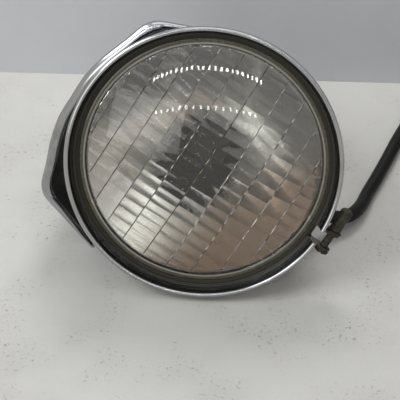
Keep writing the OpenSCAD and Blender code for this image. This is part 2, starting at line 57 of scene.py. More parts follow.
# Pieces are drawn in millimetres. The lamp is drawn upright, lens towards -Y, front of the rim at y = 0
pose = {
    "roll": 58.5, "tilt": 22.5, "shift": (5.7, -50.0, 78.509),      # how the lamp lies on the table
    "studSide": -8.5, "studBack": 70.0, "swivel": 6.0,              # where the hood stands on the lamp
    "outletBack": 51.0, "sideFrom": 19.5, "sideRadius": 69.6, "taper": 0.3229,      # the bucket's side
}


def rotation(degrees, axis):
    return Matrix.Rotation(math.radians(degrees), 4, axis)


tablePlace = Matrix.Scale(0.001, 4)
lampPlace = (tablePlace @ Matrix.Translation(pose["shift"])
             @ rotation(-pose["tilt"], "X") @ rotation(-pose["roll"], "Y"))
hoodPlace = (lampPlace @ Matrix.Translation((pose["studSide"], pose["studBack"], 0))
             @ rotation(-pose["swivel"], "Z"))
outletLean = math.degrees(math.atan(pose["taper"]))
outletRadius = pose["sideRadius"] - (pose["outletBack"] - pose["sideFrom"]) * pose["taper"]
outletPlace = (lampPlace @ Matrix.Translation((0, pose["outletBack"], -outletRadius))
               @ rotation(180 + outletLean, "X"))

shot = {"eye": (0.0407, -0.7583, 0.6326), "azimuth": 2.83, "elevation": 38.0,
        "lens": 140.8, "sensor": 36, "across": 0.0081, "down": 0.0862}


def newObject(name, data):
    made = bpy.data.objects.new(name, data)
    bpy.context.scene.collection.objects.link(made)
    return made


def makeCamera():
    az, el = math.radians(shot["azimuth"]), math.radians(shot["elevation"])
    back = Vector((math.sin(az) * math.cos(el), -math.cos(az) * math.cos(el), math.sin(el)))
    right = Vector((0, 0, 1)).cross(back).normalized()
    data = bpy.data.cameras.new("photoCamera")
    data.sensor_width = shot["sensor"]
    data.lens = shot["lens"]
    data.shift_x, data.shift_y = -shot["across"], -shot["down"]
    data.clip_end = 20
    camera = newObject("photoCamera", data)
    axes = Matrix((right, back.cross(right), back)).transposed()
    camera.matrix_world = Matrix.Translation(shot["eye"]) @ axes.to_4x4()
    bpy.context.scene.camera = camera


makeCamera()


def finishMesh(mesh, sharp=35):
    mesh.polygons.foreach_set("use_smooth", [True] * len(mesh.polygons))
    mesh.set_sharp_from_angle(angle=math.radians(sharp))
    mesh.update()


# Merges doubles, turns the faces outwards and takes the mesh from millimetres to its place
def placeMesh(mesh, place, sharp, outwards=True):
    work = bmesh.new()
    work.from_mesh(mesh)
    bmesh.ops.remove_doubles(work, verts=work.verts, dist=1e-4)
    bmesh.ops.delete(work, geom=[e for e in work.edges if not e.link_faces], context="EDGES")
    if outwards:
        bmesh.ops.recalc_face_normals(work, faces=work.faces)
    bmesh.ops.transform(work, matrix=place, verts=work.verts)
    work.to_mesh(mesh)
    work.free()
    finishMesh(mesh, sharp)


# The parts are points and faces, and a slot for each face where the materials differ
def addMesh(name, parts, place, *materials, sharp=35, outwards=True):
    points, faces, *slots = parts
    mesh = bpy.data.meshes.new(name)
    mesh.from_pydata([tuple(p) for p in points], [], faces)
    for material in materials:
        mesh.materials.append(material)
    if slots:
        mesh.polygons.foreach_set("material_index", slots[0])
    placeMesh(mesh, place, sharp, outwards)
    return newObject(name, mesh)


# Cuts a piece with another mesh, which is thrown away
def cutWith(piece, parts, place):
    cutter = addMesh("cutter", parts, place)
    change = piece.modifiers.new("cut", "BOOLEAN")
    change.operation = "DIFFERENCE"
    change.solver = "EXACT"
    change.object = cutter
    graph = bpy.context.evaluated_depsgraph_get()
    mesh = bpy.data.meshes.new_from_object(piece.evaluated_get(graph))
    piece.modifiers.clear()
    piece.data = mesh
    finishMesh(mesh)
    bpy.data.objects.remove(cutter)


# Gives a piece the body that it moves with, and hides the CAD nodes that it stands for
def settle(piece, body, slot, *nodes):
    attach(piece, body)
    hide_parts(*nodes)


# Rounds the corners of a flat outline; each point is (a, b) or (a, b, radius)
def roundedOutline(outline, closed=True, steps=5):
    made = []
    count = len(outline)
    for i, point in enumerate(outline):
        radius = point[2] if len(point) > 2 else 0
        here = Vector(point[:2])
        if radius <= 0 or (not closed and i in (0, count - 1)):
            made.append(tuple(here))
            continue
        before = Vector(outline[i - 1][:2]) - here
        after = Vector(outline[(i + 1) % count][:2]) - here
        angle = before.angle(after, math.pi)
        if angle > math.pi - 0.02:
            made.append(tuple(here))
            continue
        reach = min(radius / math.tan(angle / 2), before.length * 0.49, after.length * 0.49)
        start, end = here + before.normalized() * reach, here + after.normalized() * reach
        for k in range(steps + 1):
            t = k / steps
            made.append(tuple((1 - t) ** 2 * start + 2 * t * (1 - t) * here + t * t * end))
    return made


def boxOutline(low, high, radius=0.0, steps=3):
    (a, b), (c, d) = low, high
    return roundedOutline([(a, b, radius), (c, b, radius), (c, d, radius), (a, d, radius)], steps=steps)


def arcLine(centre, radii, angles):
    return [(centre[0] + radii[0] * math.cos(a), centre[1] + radii[1] * math.sin(a))
            for a in map(math.radians, angles)]


# A skin over rows of points; a row of one point is a pole
def loft(rows, capped=False, looped=False, wrapped=True):
    points, faces, rings = [], [], []
    for row in rows:
        rings.append(range(len(points), len(points) + len(row)))
        points += row
    for low, high in zip(rings, rings[1:] + (rings[:1] if looped else [])):
        count = max(len(low), len(high))
        if count == 1:
            continue
        for k in range(count if wrapped else count - 1):
            n = (k + 1) % count
            if len(low) == 1:
                faces.append((low[0], high[k], high[n]))
            elif len(high) == 1:
                faces.append((low[k], high[0], low[n]))
            else:
                faces.append((low[k], high[k], high[n], low[n]))
    if capped:
        faces += [list(rings[0])[::-1], list(rings[-1])]
    return points, faces


# Turns an outline of (radius, depth) about the lamp's axis; a gap leaves it open at the bottom
def lathe(outline, steps=192, closed=True, gap=0.0):
    rows, count = [], steps + 1 if gap else steps
    for radius, depth in outline:
        if radius < 1e-6:
            rows.append([(0, depth, 0)])
            continue
        half = math.asin(gap / radius)
        angles = [half - math.pi / 2 + 2 * (math.pi - half) * k / steps for k in range(count)]
        rows.append([(radius * math.cos(a), depth, radius * math.sin(a)) for a in angles])
    points, faces = loft(rows, looped=closed, wrapped=not gap)
    if gap:
        faces += [list(range(0, len(points), count)), list(range(count - 1, len(points), count))[::-1]]
    return points, faces


# A turned piece along one of the place's own axes
def turned(outline, axis, centre=(0, 0, 0), steps=64, closed=False):
    points, faces = lathe(outline, steps, closed)
    order = {"X": (1, 0, 2), "Y": (0, 1, 2), "Z": (0, 2, 1)}[axis]
    return [[p[i] + c for i, c in zip(order, centre)] for p in points], faces


def rod(radius, low, high, axis, centre=(0, 0, 0), steps=40):
    return turned([(0, low), (radius, low), (radius, high), (0, high)], axis, centre, steps)


# A prism of an outline in two axes, along the third, with softened edges
def prism(outline, low, high, axes=(0, 1, 2), soften=0.0):
    centre = sum((Vector(p) for p in outline), Vector((0, 0))) / len(outline)
    layers = [(low, soften), (high, soften)]
    if soften:
        layers[1:1] = [(low + soften, 0), (high - soften, 0)]
    rows = []
    for level, shrink in layers:
        row = []
        for p in outline:
            flat = Vector(p) - (Vector(p) - centre).normalized() * shrink
            spot = [0, 0, 0]
            spot[axes[0]], spot[axes[1]], spot[axes[2]] = flat.x, flat.y, level
            row.append(spot)
        rows.append(row)
    return loft(rows, capped=True)


# A tube round points, with one radius or one for each point
def tubeMesh(path, radius, sides):
    spots = [Vector(p) for p in path]
    last = len(spots) - 1
    radii = radius if isinstance(radius, list) else [radius] * len(spots)
    angles = [2 * math.pi * k / sides for k in range(sides)]
    side, rows = None, []
    for i, spot in enumerate(spots):
        along = (spots[min(i + 1, last)] - spots[max(i - 1, 0)]).normalized()
        side = along.orthogonal() if side is None else side
        side = (side - along * side.dot(along)).normalized()
        other = along.cross(side)
        rows.append([spot + radii[i] * (math.cos(a) * side + math.sin(a) * other) for a in angles])
    return loft(rows, capped=True)


def joined(*parts):
    points, faces = [], []
    for morePoints, moreFaces in parts:
        first = len(points)
        points += morePoints
        faces += [[first + i for i in face] for face in moreFaces]
    return points, faces


# Points on a smooth line through given points
def smoothLine(places, steps):
    line = []
    spots = [Vector(p) for p in places]
    for i in range(len(spots) - 1):
        a, b, c = spots[max(0, i - 1)], spots[i], spots[i + 1]
        d = spots[min(len(spots) - 1, i + 2)]
        for k in range(steps):
            t = k / steps
            line.append(0.5 * (2 * b + (c - a) * t + (2 * a - 5 * b + 4 * c - d) * t * t
                               + (3 * b - a - 3 * c + d) * t ** 3))
    return line + [spots[-1]]


def lineLength(line):
    return sum((b - a).length for a, b in zip(line, line[1:]))


# The same line with its points at even distances
def evenLine(line, step):
    total = lineLength(line)
    count = max(2, round(total / step))
    wanted, made, run = total / count, [line[0]], 0.0
    for a, b in zip(line, line[1:]):
        length = (b - a).length
        while len(made) < count and run + length >= wanted * len(made) - 1e-9 and length > 0:
            made.append(a + (b - a) * ((wanted * len(made) - run) / length))
        run += length
    return made[:count] + [line[-1]]


# A socket that plain arithmetic can be written with
class Wire:
    def __init__(self, tree, socket):
        self.tree, self.socket = tree, socket

    def __add__(self, other): return self.tree.maths("ADD", self, other)
    def __radd__(self, other): return self.tree.maths("ADD", other, self)
    def __sub__(self, other): return self.tree.maths("SUBTRACT", self, other)
    def __rsub__(self, other): return self.tree.maths("SUBTRACT", other, self)
    def __mul__(self, other): return self.tree.maths("MULTIPLY", self, other)
    def __rmul__(self, other): return self.tree.maths("MULTIPLY", other, self)
    def __truediv__(self, other): return self.tree.maths("DIVIDE", self, other)
    def __pow__(self, other): return self.tree.maths("POWER", self, other)

    def fade(self, low, high):      # 0 at low, 1 at high, smooth between
        return self.tree.node("ShaderNodeMapRange", {"interpolation_type": "SMOOTHSTEP"},
                              {0: self, 1: low, 2: high, 3: 0.0, 4: 1.0})


class NodeTree:
    def __init__(self, tree):
        self.tree = tree

    def node(self, kind, settings=None, sockets=None, out=0):
        made = self.tree.nodes.new(kind)
        for key, value in (settings or {}).items():
            if key == "stops":
                self.setStops(made.color_ramp, value)
            else:
                setattr(made, key, value)
        for key, value in (sockets or {}).items():
            if isinstance(value, Wire):
                self.tree.links.new(value.socket, made.inputs[key])
            elif made.inputs[key].type == "RGBA" and len(value) == 3:
                made.inputs[key].default_value = (*value, 1)
            else:
                made.inputs[key].default_value = value
        return Wire(self, made.outputs[out]) if len(made.outputs) else None

    def setStops(self, ramp, stops):
        while len(ramp.elements) < len(stops):
            ramp.elements.new(0.5)
        for element, (spot, colour) in zip(ramp.elements, stops):
            element.position = spot
            element.color = (*colour, 1)

    def maths(self, operation, *values):
        return self.node("ShaderNodeMath", {"operation": operation}, dict(enumerate(values)))

    def split(self, vector):
        made = self.node("ShaderNodeSeparateXYZ", None, {0: vector})
        return [Wire(self, made.socket.node.outputs[i]) for i in range(3)]


# A material with its patterns in millimetres, in the axes of the place that it is given
class Paint(NodeTree):
    def __init__(self, name, place):
        self.material = bpy.data.materials.new(name)
        self.material.use_nodes = True
        super().__init__(self.material.node_tree)
        self.tree.nodes.clear()
        back = place.inverted()
        self.where = self.node("ShaderNodeMapping", None, {
            "Vector": self.node("ShaderNodeTexCoord", out=3), "Location": back.to_translation(),
            "Rotation": back.to_euler(), "Scale": back.to_scale()})

    def noise(self, scale, detail=4.0, rough=0.55, stretch=None):
        vector = self.where
        if stretch:
            vector = self.node("ShaderNodeMapping", None, {"Vector": vector, "Scale": stretch})
        return self.node("ShaderNodeTexNoise", None,
                         {"Vector": vector, "Scale": scale, "Detail": detail, "Roughness": rough})

    def cells(self, scale):
        return self.node("ShaderNodeTexVoronoi", None, {"Vector": self.where, "Scale": scale})

    def blend(self, factor, first, second):
        return self.node("ShaderNodeMix", {"data_type": "RGBA"}, {0: factor, 6: first, 7: second}, out=2)

    def bump(self, height, strength, distance):
        return self.node("ShaderNodeBump", None,
                         {"Height": height, "Strength": strength, "Distance": distance})

    def surface(self, sockets):
        return self.node("ShaderNodeBsdfPrincipled", None, sockets)

    def done(self, shader):
        self.node("ShaderNodeOutputMaterial", None, {"Surface": shader})
        return self.material

    def plain(self, sockets):
        return self.done(self.surface(sockets))


def tone(r, g, b):      # a colour as it is seen, 0 to 255, as the shaders want it
    return tuple((v / 255 / 12.92) if v <= 10 else ((v / 255 + 0.055) / 1.055) ** 2.4 for v in (r, g, b))


# Every scale is per millimetre, so a pattern at scale 0.05 is about 20 mm across
chromeLook = {
    "plate": (0.42, 0.43, 0.445), "haze": (0.25, 0.245, 0.235), "pit": tone(70, 56, 42), "roughness": 0.075,
    "smearScale": 0.035, "smearShare": 0.55, "grainScale": 0.9, "pitScale": 0.42, "pitPatches": 0.05,
}


# Plate with a haze over part of it: its colour, where it is worn, and a fine grain
def plating(paint, smear, haze):
    worn = paint.noise(smear, 5.0, 0.6, (1, 0.35, 1)).fade(0.5, 0.72)
    colour = paint.blend(worn * haze, chromeLook["plate"], chromeLook["haze"])
    return colour, worn, paint.noise(chromeLook["grainScale"], 3.0, 0.6)


def chromeFinish(name, place, pitting):
    paint = Paint(name, place)
    look = chromeLook
    colour, worn, fine = plating(paint, look["smearScale"], look["smearShare"])
    pits = paint.cells(look["pitScale"]).fade(0.16, 0.03) * paint.noise(look["pitPatches"], 3.0).fade(0.52, 0.66)
    return paint.plain({
        "Base Color": paint.blend(pits * pitting, colour, look["pit"]),
        "Metallic": 1.0 - pits * (0.6 * pitting),
        "Roughness": look["roughness"] + worn * 0.12 + fine * 0.05 + pits * (0.4 * pitting),
        "Normal": paint.bump(fine * 0.3 - pits * pitting, 0.06, 0.0004)})


rimLook = {
    "black": tone(15, 16, 13), "smearScale": 0.05, "smearShare": 0.5,
    "edge": (78.35, 78.65), "skirt": (77.7, 77.95), "from": (4.6, 5.0),         # radii and depth of the channel
    "tab": tone(46, 40, 31), "tabReach": 6.05, "endReach": 4.33, "tabTop": -70.0, "tabFrom": 81.05,
}


# The rim is plated on its roll and outside; the channel inside the roll is black, a painted shade that stands in
# for the dark reflection and shadow between rim and glass
def rimFinish(name, place):
    paint, look = Paint(name, place), rimLook
    x, y, z = paint.split(paint.where)
    radius = (x * x + z * z) ** 0.5
    # The channel mask places the painted shade inside the roll
    channel = radius.fade(*look["edge"][::-1]) * y.fade(*look["from"][::-1]) + radius.fade(*look["skirt"][::-1])
    channel = paint.maths("MINIMUM", channel, 1.0)
    colour, worn, fine = plating(paint, look["smearScale"], look["smearShare"])
    colour = paint.blend(channel, colour, look["black"])
    # The two tabs and the cut ends of the rim beside them are stained
    across = paint.maths("ABSOLUTE", x)
    low = z.fade(look["tabTop"], look["tabTop"] - 0.5)
    tabs = (low * across.fade(look["tabReach"], look["tabReach"] - 0.1)
            * radius.fade(look["tabFrom"], look["tabFrom"] + 0.2))
    stained = paint.maths("MAXIMUM", tabs, low * across.fade(look["endReach"], look["endReach"] - 0.05))
    dull = paint.maths("MAXIMUM", channel, stained * 0.8)
    return paint.plain({
        "Base Color": paint.blend(stained, colour, look["tab"]), "Metallic": 1.0 - dull,
        "Roughness": chromeLook["roughness"] + worn * 0.1 + fine * 0.05 + dull * 0.12,
        "Normal": paint.bump(fine, 0.05, 0.0004)})


paintLook = {"black": tone(19, 19, 20), "worn": tone(52, 50, 46), "wornScale": 0.05, "wornShare": 0.7,
             "grainScale": 0.55}


# A dark surface with worn patches and grain; inside the hood it is black paint and painted shade, and in the
# hood's groove it is painted shade
def darkSurface(name, place, rough, bumpy):
    paint = Paint(name, place)
    patches = paint.noise(paintLook["wornScale"], 5.0, 0.65).fade(0.5, 0.74)
    return paint.plain({
        "Base Color": paint.blend(patches * paintLook["wornShare"], paintLook["black"], paintLook["worn"]),
        "Roughness": rough + patches * 0.25,
        "Normal": paint.bump(paint.noise(paintLook["grainScale"], 4.0, 0.6), bumpy, 0.0005)})


rustLook = {"steel": tone(72, 70, 61), "olive": tone(48, 47, 37), "rust": tone(62, 47, 35),
            "dark": tone(25, 23, 19), "patchScale": 0.22, "spotScale": 1.1, "spotShare": 0.8, "metal": 0.85,
            "roughness": 0.38, "bumpy": 0.55}


def rustyFinish(name, place):
    paint, look = Paint(name, place), rustLook
    patches, spots = paint.noise(look["patchScale"], 6.0, 0.65), paint.noise(look["spotScale"], 4.0, 0.7)
    colour = paint.blend(patches.fade(0.38, 0.6), look["steel"], look["olive"])
    colour = paint.blend(spots.fade(0.5, 0.68) * look["spotShare"], colour, look["rust"])
    return paint.plain({
        "Base Color": paint.blend(patches.fade(0.62, 0.78), colour, look["dark"]),
        "Metallic": look["metal"] - spots.fade(0.45, 0.66) * 0.75, "Roughness": look["roughness"] + spots * 0.4,
        "Normal": paint.bump(spots + patches, look["bumpy"], 0.0004)})


metalLook = {"tint": (0.3, 0.27, 0.22), "tintScale": 0.6, "tintShare": 0.6, "marksScale": 1.4,
             "marksStretch": (0.3, 3.0, 3.0), "bumpy": 0.12}


def plainMetal(name, colour, place, rough, tint=metalLook["tint"], tintScale=metalLook["tintScale"]):
    paint, look = Paint(name, place), metalLook
    cloud = paint.noise(tintScale, 5.0, 0.6)
    marks = paint.noise(look["marksScale"], 2.0, 0.5, look["marksStretch"])
    return paint.plain({
        "Base Color": paint.blend(cloud.fade(0.48, 0.75) * look["tintShare"], colour, tint), "Metallic": 1.0,
        "Roughness": rough + cloud * 0.25, "Normal": paint.bump(marks + cloud, look["bumpy"], 0.0003)})


rubberLook = {"dust": tone(74, 71, 64), "dustScale": 0.12, "grainScale": 2.2, "bumpy": 0.25, "ior": 1.28}


def rubberFinish(name, place, colour, rough, dusty):
    paint, look = Paint(name, place), rubberLook
    cloud = paint.noise(look["dustScale"], 5.0, 0.65).fade(0.45, 0.75)
    grain = paint.noise(look["grainScale"], 3.0, 0.6)
    return paint.plain({
        "Base Color": paint.blend(cloud * dusty, colour, look["dust"]), "Roughness": rough + cloud * 0.2,
        "Normal": paint.bump(grain, look["bumpy"], 0.0003), "IOR": look["ior"]})


plasticLook = {"shade": 0.72, "shadeScale": 0.1, "shadeShare": 0.35, "grainScale": 3.5, "bumpy": 0.15}


def plasticFinish(name, place, colour, rough):
    paint, look = Paint(name, place), plasticLook
    cloud = paint.noise(look["shadeScale"], 4.0, 0.6)
    shaded = tuple(v * look["shade"] for v in colour)
    grain = paint.noise(look["grainScale"], 2.0, 0.5)
    return paint.plain({
        "Base Color": paint.blend(cloud * look["shadeShare"], colour, shaded),
        "Roughness": rough + cloud * 0.12, "Normal": paint.bump(grain, look["bumpy"], 0.0002)})


glassLook = {
    "glass": (0.97, 0.985, 0.97), "roughness": 0.015, "ior": 1.5, "waveScale": 0.08, "wave": 0.03,
    "film": tone(150, 143, 128), "filmRoughness": 0.7, "haze": 0.012, "dust": 0.05, "dustScale": 0.06,
    "specks": 0.5, "speckScale": 0.55, "speckPatches": 0.13,
}


# Clear glass under a thin film of dust and specks
def clearLens(name):
    paint, look = Paint(name, lampPlace), glassLook
    dust = paint.noise(look["dustScale"], 6.0, 0.7).fade(0.52, 0.78)
    specks = paint.cells(look["speckScale"]).fade(0.14, 0.04)
    specks = specks * paint.noise(look["speckPatches"], 3.0).fade(0.5, 0.62)
    normal = paint.bump(paint.noise(look["waveScale"], 3.0, 0.5), look["wave"], 0.001)
    glass = paint.surface({"Base Color": look["glass"], "Roughness": look["roughness"], "IOR": look["ior"],
                           "Transmission Weight": 1.0, "Normal": normal})
    film = paint.surface({"Base Color": look["film"], "Roughness": look["filmRoughness"]})
    cover = dust * look["dust"] + specks * look["specks"] + look["haze"]
    return paint.done(paint.node("ShaderNodeMixShader", None, {0: cover, 1: glass, 2: film}))


flangeLook = {
    "olive": tone(66, 63, 50), "deep": tone(46, 45, 33), "pale": tone(104, 102, 88), "cloudScale": 0.045,
    "fineScale": 0.5, "roughness": 0.16, "coat": 0.6, "coatRoughness": 0.05, "ior": 1.5,
    "line": tone(170, 168, 152), "lineFrom": (69.2, 69.8), "lineTo": (70.9, 70.0),
    "rim": tone(28, 27, 22), "rimFrom": (71.6, 73.0),
}


# The flange shows the olive seal through the glass, with a pale line inside and a dark one outside
def flangeGlass(name):
    paint, look = Paint(name, lampPlace), flangeLook
    cloud, fine = paint.noise(look["cloudScale"], 5.0, 0.6), paint.noise(look["fineScale"], 4.0, 0.6)
    x, y, z = paint.split(paint.where)
    edge = (x * x + z * z) ** 0.5
    shade = paint.blend(cloud.fade(0.35, 0.65), look["olive"], look["deep"])
    shade = paint.blend(fine.fade(0.66, 0.84) * 0.25, shade, look["pale"])
    shade = paint.blend(edge.fade(*look["rimFrom"]) * 0.4, shade, look["rim"])
    line = edge.fade(*look["lineTo"]) * edge.fade(*look["lineFrom"])
    shade = paint.blend(line * 0.8, shade, look["line"])
    return paint.plain({
        "Base Color": shade, "Roughness": look["roughness"] + fine * 0.2, "Coat Weight": look["coat"],
        "Coat Roughness": look["coatRoughness"], "IOR": look["ior"], "Normal": paint.bump(cloud, 0.2, 0.001)})


mirrorLook = {
    "silver": (0.87, 0.85, 0.82), "blue": (0.62, 0.66, 0.72), "metal": 0.74, "roughness": 0.13,
    "brown": tone(140, 104, 70), "brownShare": 0.85, "warmX": -0.4, "warmZ": -0.92, "warmOver": 60.0,
    "warm": (0.25, 0.9), "dark": tone(20, 17, 13), "darkReflectionX": -17.0, "darkReflectionZ": -4.0, "darkReflection": (26.0, 20.0),
    "ragged": 14.0, "raggedScale": 0.16, "cloudScale": 0.035, "fineScale": 0.6,
}


# Silvering that has gone brown low on the right, with a painted dark reflection round the middle
def mirrorFinish(name):
    paint, look = Paint(name, lampPlace), mirrorLook
    x, y, z = paint.split(paint.where)
    cloud, fine = paint.noise(look["cloudScale"], 6.0, 0.62), paint.noise(look["fineScale"], 4.0, 0.6)
    fromX, fromZ = x - look["darkReflectionX"], z - look["darkReflectionZ"]
    away = (fromX * fromX + fromZ * fromZ) ** 0.5
    ragged = (paint.noise(look["raggedScale"], 5.0, 0.7) - 0.5) * look["ragged"]
    # A painted dark reflection round the middle, with a ragged edge
    darkReflection = (away + ragged).fade(*look["darkReflection"])
    warm = (x * look["warmX"] + z * look["warmZ"]) / look["warmOver"]
    warm = (warm + (cloud - 0.5) * 0.4).fade(*look["warm"])
    shade = paint.blend(cloud.fade(0.45, 0.7) * 0.35, look["silver"], look["blue"])
    shade = paint.blend(warm * look["brownShare"], shade, look["brown"])
    return paint.plain({
        "Base Color": paint.blend(darkReflection, shade, look["dark"]), "Metallic": look["metal"],
        "Roughness": look["roughness"] + fine * 0.06 + darkReflection * 0.2,
        "Normal": paint.bump(cloud + fine * 0.05, 0.1, 0.002)})


wireLook = {"yellow": tone(206, 178, 42), "white": tone(216, 214, 206), "black": tone(24, 24, 25),
            "left": (-1.55, -1.45), "right": (1.45, 1.55), "grime": tone(60, 54, 44), "grimeScale": 0.5,
            "roughness": 0.4}


# Three wires side by side: yellow, white, black
def wireCovers(name):
    paint, look = Paint(name, lampPlace), wireLook
    x, y, z = paint.split(paint.where)
    cloud = paint.noise(look["grimeScale"], 4.0)
    shade = paint.blend(x.fade(*look["left"]), look["yellow"], look["white"])
    shade = paint.blend(x.fade(*look["right"]), shade, look["black"])
    return paint.plain({"Base Color": paint.blend(cloud * 0.3, shade, look["grime"]),
                        "Roughness": look["roughness"] + cloud * 0.1, "Normal": paint.bump(cloud, 0.1, 0.0003)})


chromeSheet = chromeFinish("chromeSheet", lampPlace, 0.6)
chromeRim = rimFinish("chromeRim", lampPlace)
chromeCasting = chromeFinish("chromeCasting", hoodPlace, 0.35)
# Inside the hood: partly black paint, partly painted shade for the shadow in there
blackInside = darkSurface("blackInside", hoodPlace, 0.5, 0.5)
lipBlack = darkSurface("lipBlack", lampPlace, 0.5, 0.3)
# The groove in the hood's lip is black as painted shade
grooveBlack = darkSurface("grooveBlack", hoodPlace, 0.7, 0.2)
rustySteel = rustyFinish("rustySteel", lampPlace)
bucketInside = plainMetal("bucketInside", (0.22, 0.21, 0.2), lampPlace, 0.5)
zincSteel = plainMetal("zincSteel", (0.52, 0.51, 0.47), lampPlace, 0.32)
darkSteel = plainMetal("darkSteel", (0.16, 0.155, 0.15), lampPlace, 0.42, (0.2, 0.13, 0.08))
bowlBack = plainMetal("bowlBack", (0.45, 0.45, 0.44), lampPlace, 0.38, (0.25, 0.22, 0.18), 0.2)
shieldMetal = plainMetal("shieldMetal", (0.035, 0.033, 0.032), lampPlace, 0.45, (0.03, 0.025, 0.02))
tungsten = plainMetal("tungsten", (0.32, 0.31, 0.30), lampPlace, 0.35)
brassBlade = plainMetal("brassBlade", (0.62, 0.47, 0.22), lampPlace, 0.28, (0.35, 0.24, 0.12))
sealRubber = rubberFinish("sealRubber", lampPlace, tone(44, 43, 31), 0.32, 0.12)
reliefRubber = rubberFinish("reliefRubber", lampPlace, tone(15, 15, 15), 0.5, 0.15)
blackSleeve = rubberFinish("blackSleeve", tablePlace, tone(12, 12, 13), 0.42, 0.06)
blackNylon = plasticFinish("blackNylon", tablePlace, tone(24, 24, 25), 0.45)
socketNylon = plasticFinish("socketNylon", lampPlace, tone(30, 28, 26), 0.5)
whiteNylon = plasticFinish("whiteNylon", tablePlace, tone(214, 212, 202), 0.4)
lensGlass = clearLens("lensGlass")
oliveFlange = flangeGlass("oliveFlange")
mirrorBowl = mirrorFinish("mirrorBowl")
wireInsulation = wireCovers("wireInsulation")
print("finishes made")

harness = {
    "diameter": 8.5, "length": 0.814, "relief": 20.0, "lies": 4.3,      # lies: height of its middle
    "places": [
        (85.4, -11, 10.6), (91.8, -8, 8.4), (97, -2.5, 7), (101, 4.5, 5.8), (103.8, 11.5, 4.8),
        (106.5, 20, 4.3), (113.5, 37.5, 4.3), (120.5, 56, 4.3), (127, 74, 4.3), (132.3, 87.5, 4.3)],
    "coilCentre": (196, 88), "coilRadius": 58.0, "coilFrom": 155.0, "coilStep": 9.4, "turns": 2,
    "turnPoints": 24, "strapAt": 55.0, "strapLift": 1.1,
    "curlRadius": 22.0, "curlTurn": 110.0, "plugHeight": 5.5,
}


# The coil runs clockwise, so the way ahead at an angle is a right angle further back
def wayAt(degrees):
    return Vector((math.sin(math.radians(degrees)), -math.cos(math.radians(degrees)), 0))


def aroundSpot(centre, radius, degrees, height):
    a = math.radians(degrees)
    return Vector((centre[0] + radius * math.cos(a), centre[1] + radius * math.sin(a), height))


# The sleeve lies on the table, and rises over the tie's strap
def liesAt(degrees):
    near = max(0.0, math.cos(math.radians(degrees - harness["strapAt"])))
    return harness["lies"] + harness["strapLift"] * near ** 8


def harnessRoute():
    h, d, count = harness, harness["diameter"], harness["turnPoints"]
    way = (outletPlace.to_3x3() @ Vector((0, 0, 1))).normalized()
    leave = tablePlace.inverted() @ (outletPlace @ Vector((0, 0, h["relief"])))
    coil = []
    for k in range(count * h["turns"] + 1):
        angle = h["coilFrom"] - 360 / count * k
        radius = h["coilRadius"] - h["coilStep"] * k / count
        coil.append(aroundSpot(h["coilCentre"], radius, angle, liesAt(angle)))
    inner = h["coilFrom"] - 360 * h["turns"]
    inset = h["coilRadius"] - h["coilStep"] * h["turns"] - h["curlRadius"]
    middle = aroundSpot(h["coilCentre"], inset, inner, 0)
    curl = []
    for k in range(1, 7):
        t = k / 6
        rise = liesAt(inner) + (h["plugHeight"] - liesAt(inner)) * t * t * (3 - 2 * t)
        curl.append(aroundSpot(middle, h["curlRadius"], inner - t * h["curlTurn"], rise))
    plugTurn = inner - h["curlTurn"]
    plugStart = curl[-1] + d * wayAt(plugTurn)
    toCoil = [coil[0] - d * n * wayAt(h["coilFrom"]) for n in (2, 1)]
    route = [leave, leave + d * way] + [Vector(p) for p in h["places"]] + toCoil + coil + curl + [plugStart]
    return route, plugStart, plugTurn


route, plugStart, plugTurn = harnessRoute()
sleeveLine = evenLine(smoothLine(route, 6), 2.2)
harnessTube = addMesh("harnessTube", tubeMesh(sleeveLine, harness["diameter"] / 2, 24), tablePlace, blackSleeve,
                      sharp=50)

# The tie: a strap round two strands, its head with the tail through it
tieSizes = {"hole": 4.75, "strap": 1.1, "width": 4.6, "head": (3.0, 3.6, 4.4),      # half length and width, height
            "tail": 12.0, "tailAt": (1.4, 2.5), "teeth": 8, "teethFrom": 3.4, "pitch": 0.9, "toothHigh": 0.25}
tieOuter = harness["coilRadius"] - harness["coilStep"] * (harness["coilFrom"] - harness["strapAt"]) / 360
tiePlace = tablePlace @ Matrix.Translation((*harness["coilCentre"], 0)) @ rotation(harness["strapAt"], "Z")


def tieParts():
    t = tieSizes
    half, thick, level = t["width"] / 2, t["strap"] / 2, t["hole"] + t["strap"]
    low, high, radii = tieOuter - harness["coilStep"], tieOuter, [t["hole"] + thick] * 2
    loop = arcLine((high, level), radii, range(-90, 91, 12)) + arcLine((low, level), radii, range(90, 271, 12))
    section = boxOutline((-thick, -half), (thick, half), 0.3, 2)
    rows = []
    for i, (x, up) in enumerate(loop):
        way = (Vector(loop[(i + 1) % len(loop)]) - Vector(loop[i - 1])).normalized()
        rows.append([(x + way.y * off, across, up - way.x * off) for off, across in section])
    top, end, (reach, wide, tall), (under, over) = 2 * level, high + t["tail"], t["head"], t["tailAt"]
    headLine = [(high - reach, top - 0.2, 0.5), (high + reach, top - 0.2, 0.5),
                (high + reach, top + tall, 0.9), (high - reach, top + tall, 0.9)]
    block = prism(roundedOutline(headLine, steps=3), -wide, wide, (0, 2, 1), 0.5)
    tailLine = [(high - 2, -half, 0.4), (end - 1.5, -half, 0.6), (end, -half + 1, 0.6),
                (end, half - 1, 0.6), (end - 1.5, half, 0.6), (high - 2, half, 0.4)]
    tail = prism(roundedOutline(tailLine, steps=2), top + under, top + over, soften=0.15)
    starts = [high + t["teethFrom"] + t["pitch"] * k for k in range(t["teeth"])]
    teeth = [prism(boxOutline((x, -1.4), (x + 0.4, 1.4)), top + over - 0.1, top + over + t["toothHigh"],
                   soften=0.08) for x in starts]
    return joined(loft(rows, looped=True), block, tail, *teeth)


coilTie = addMesh("coilTie", tieParts(), tiePlace, whiteNylon, sharp=40)

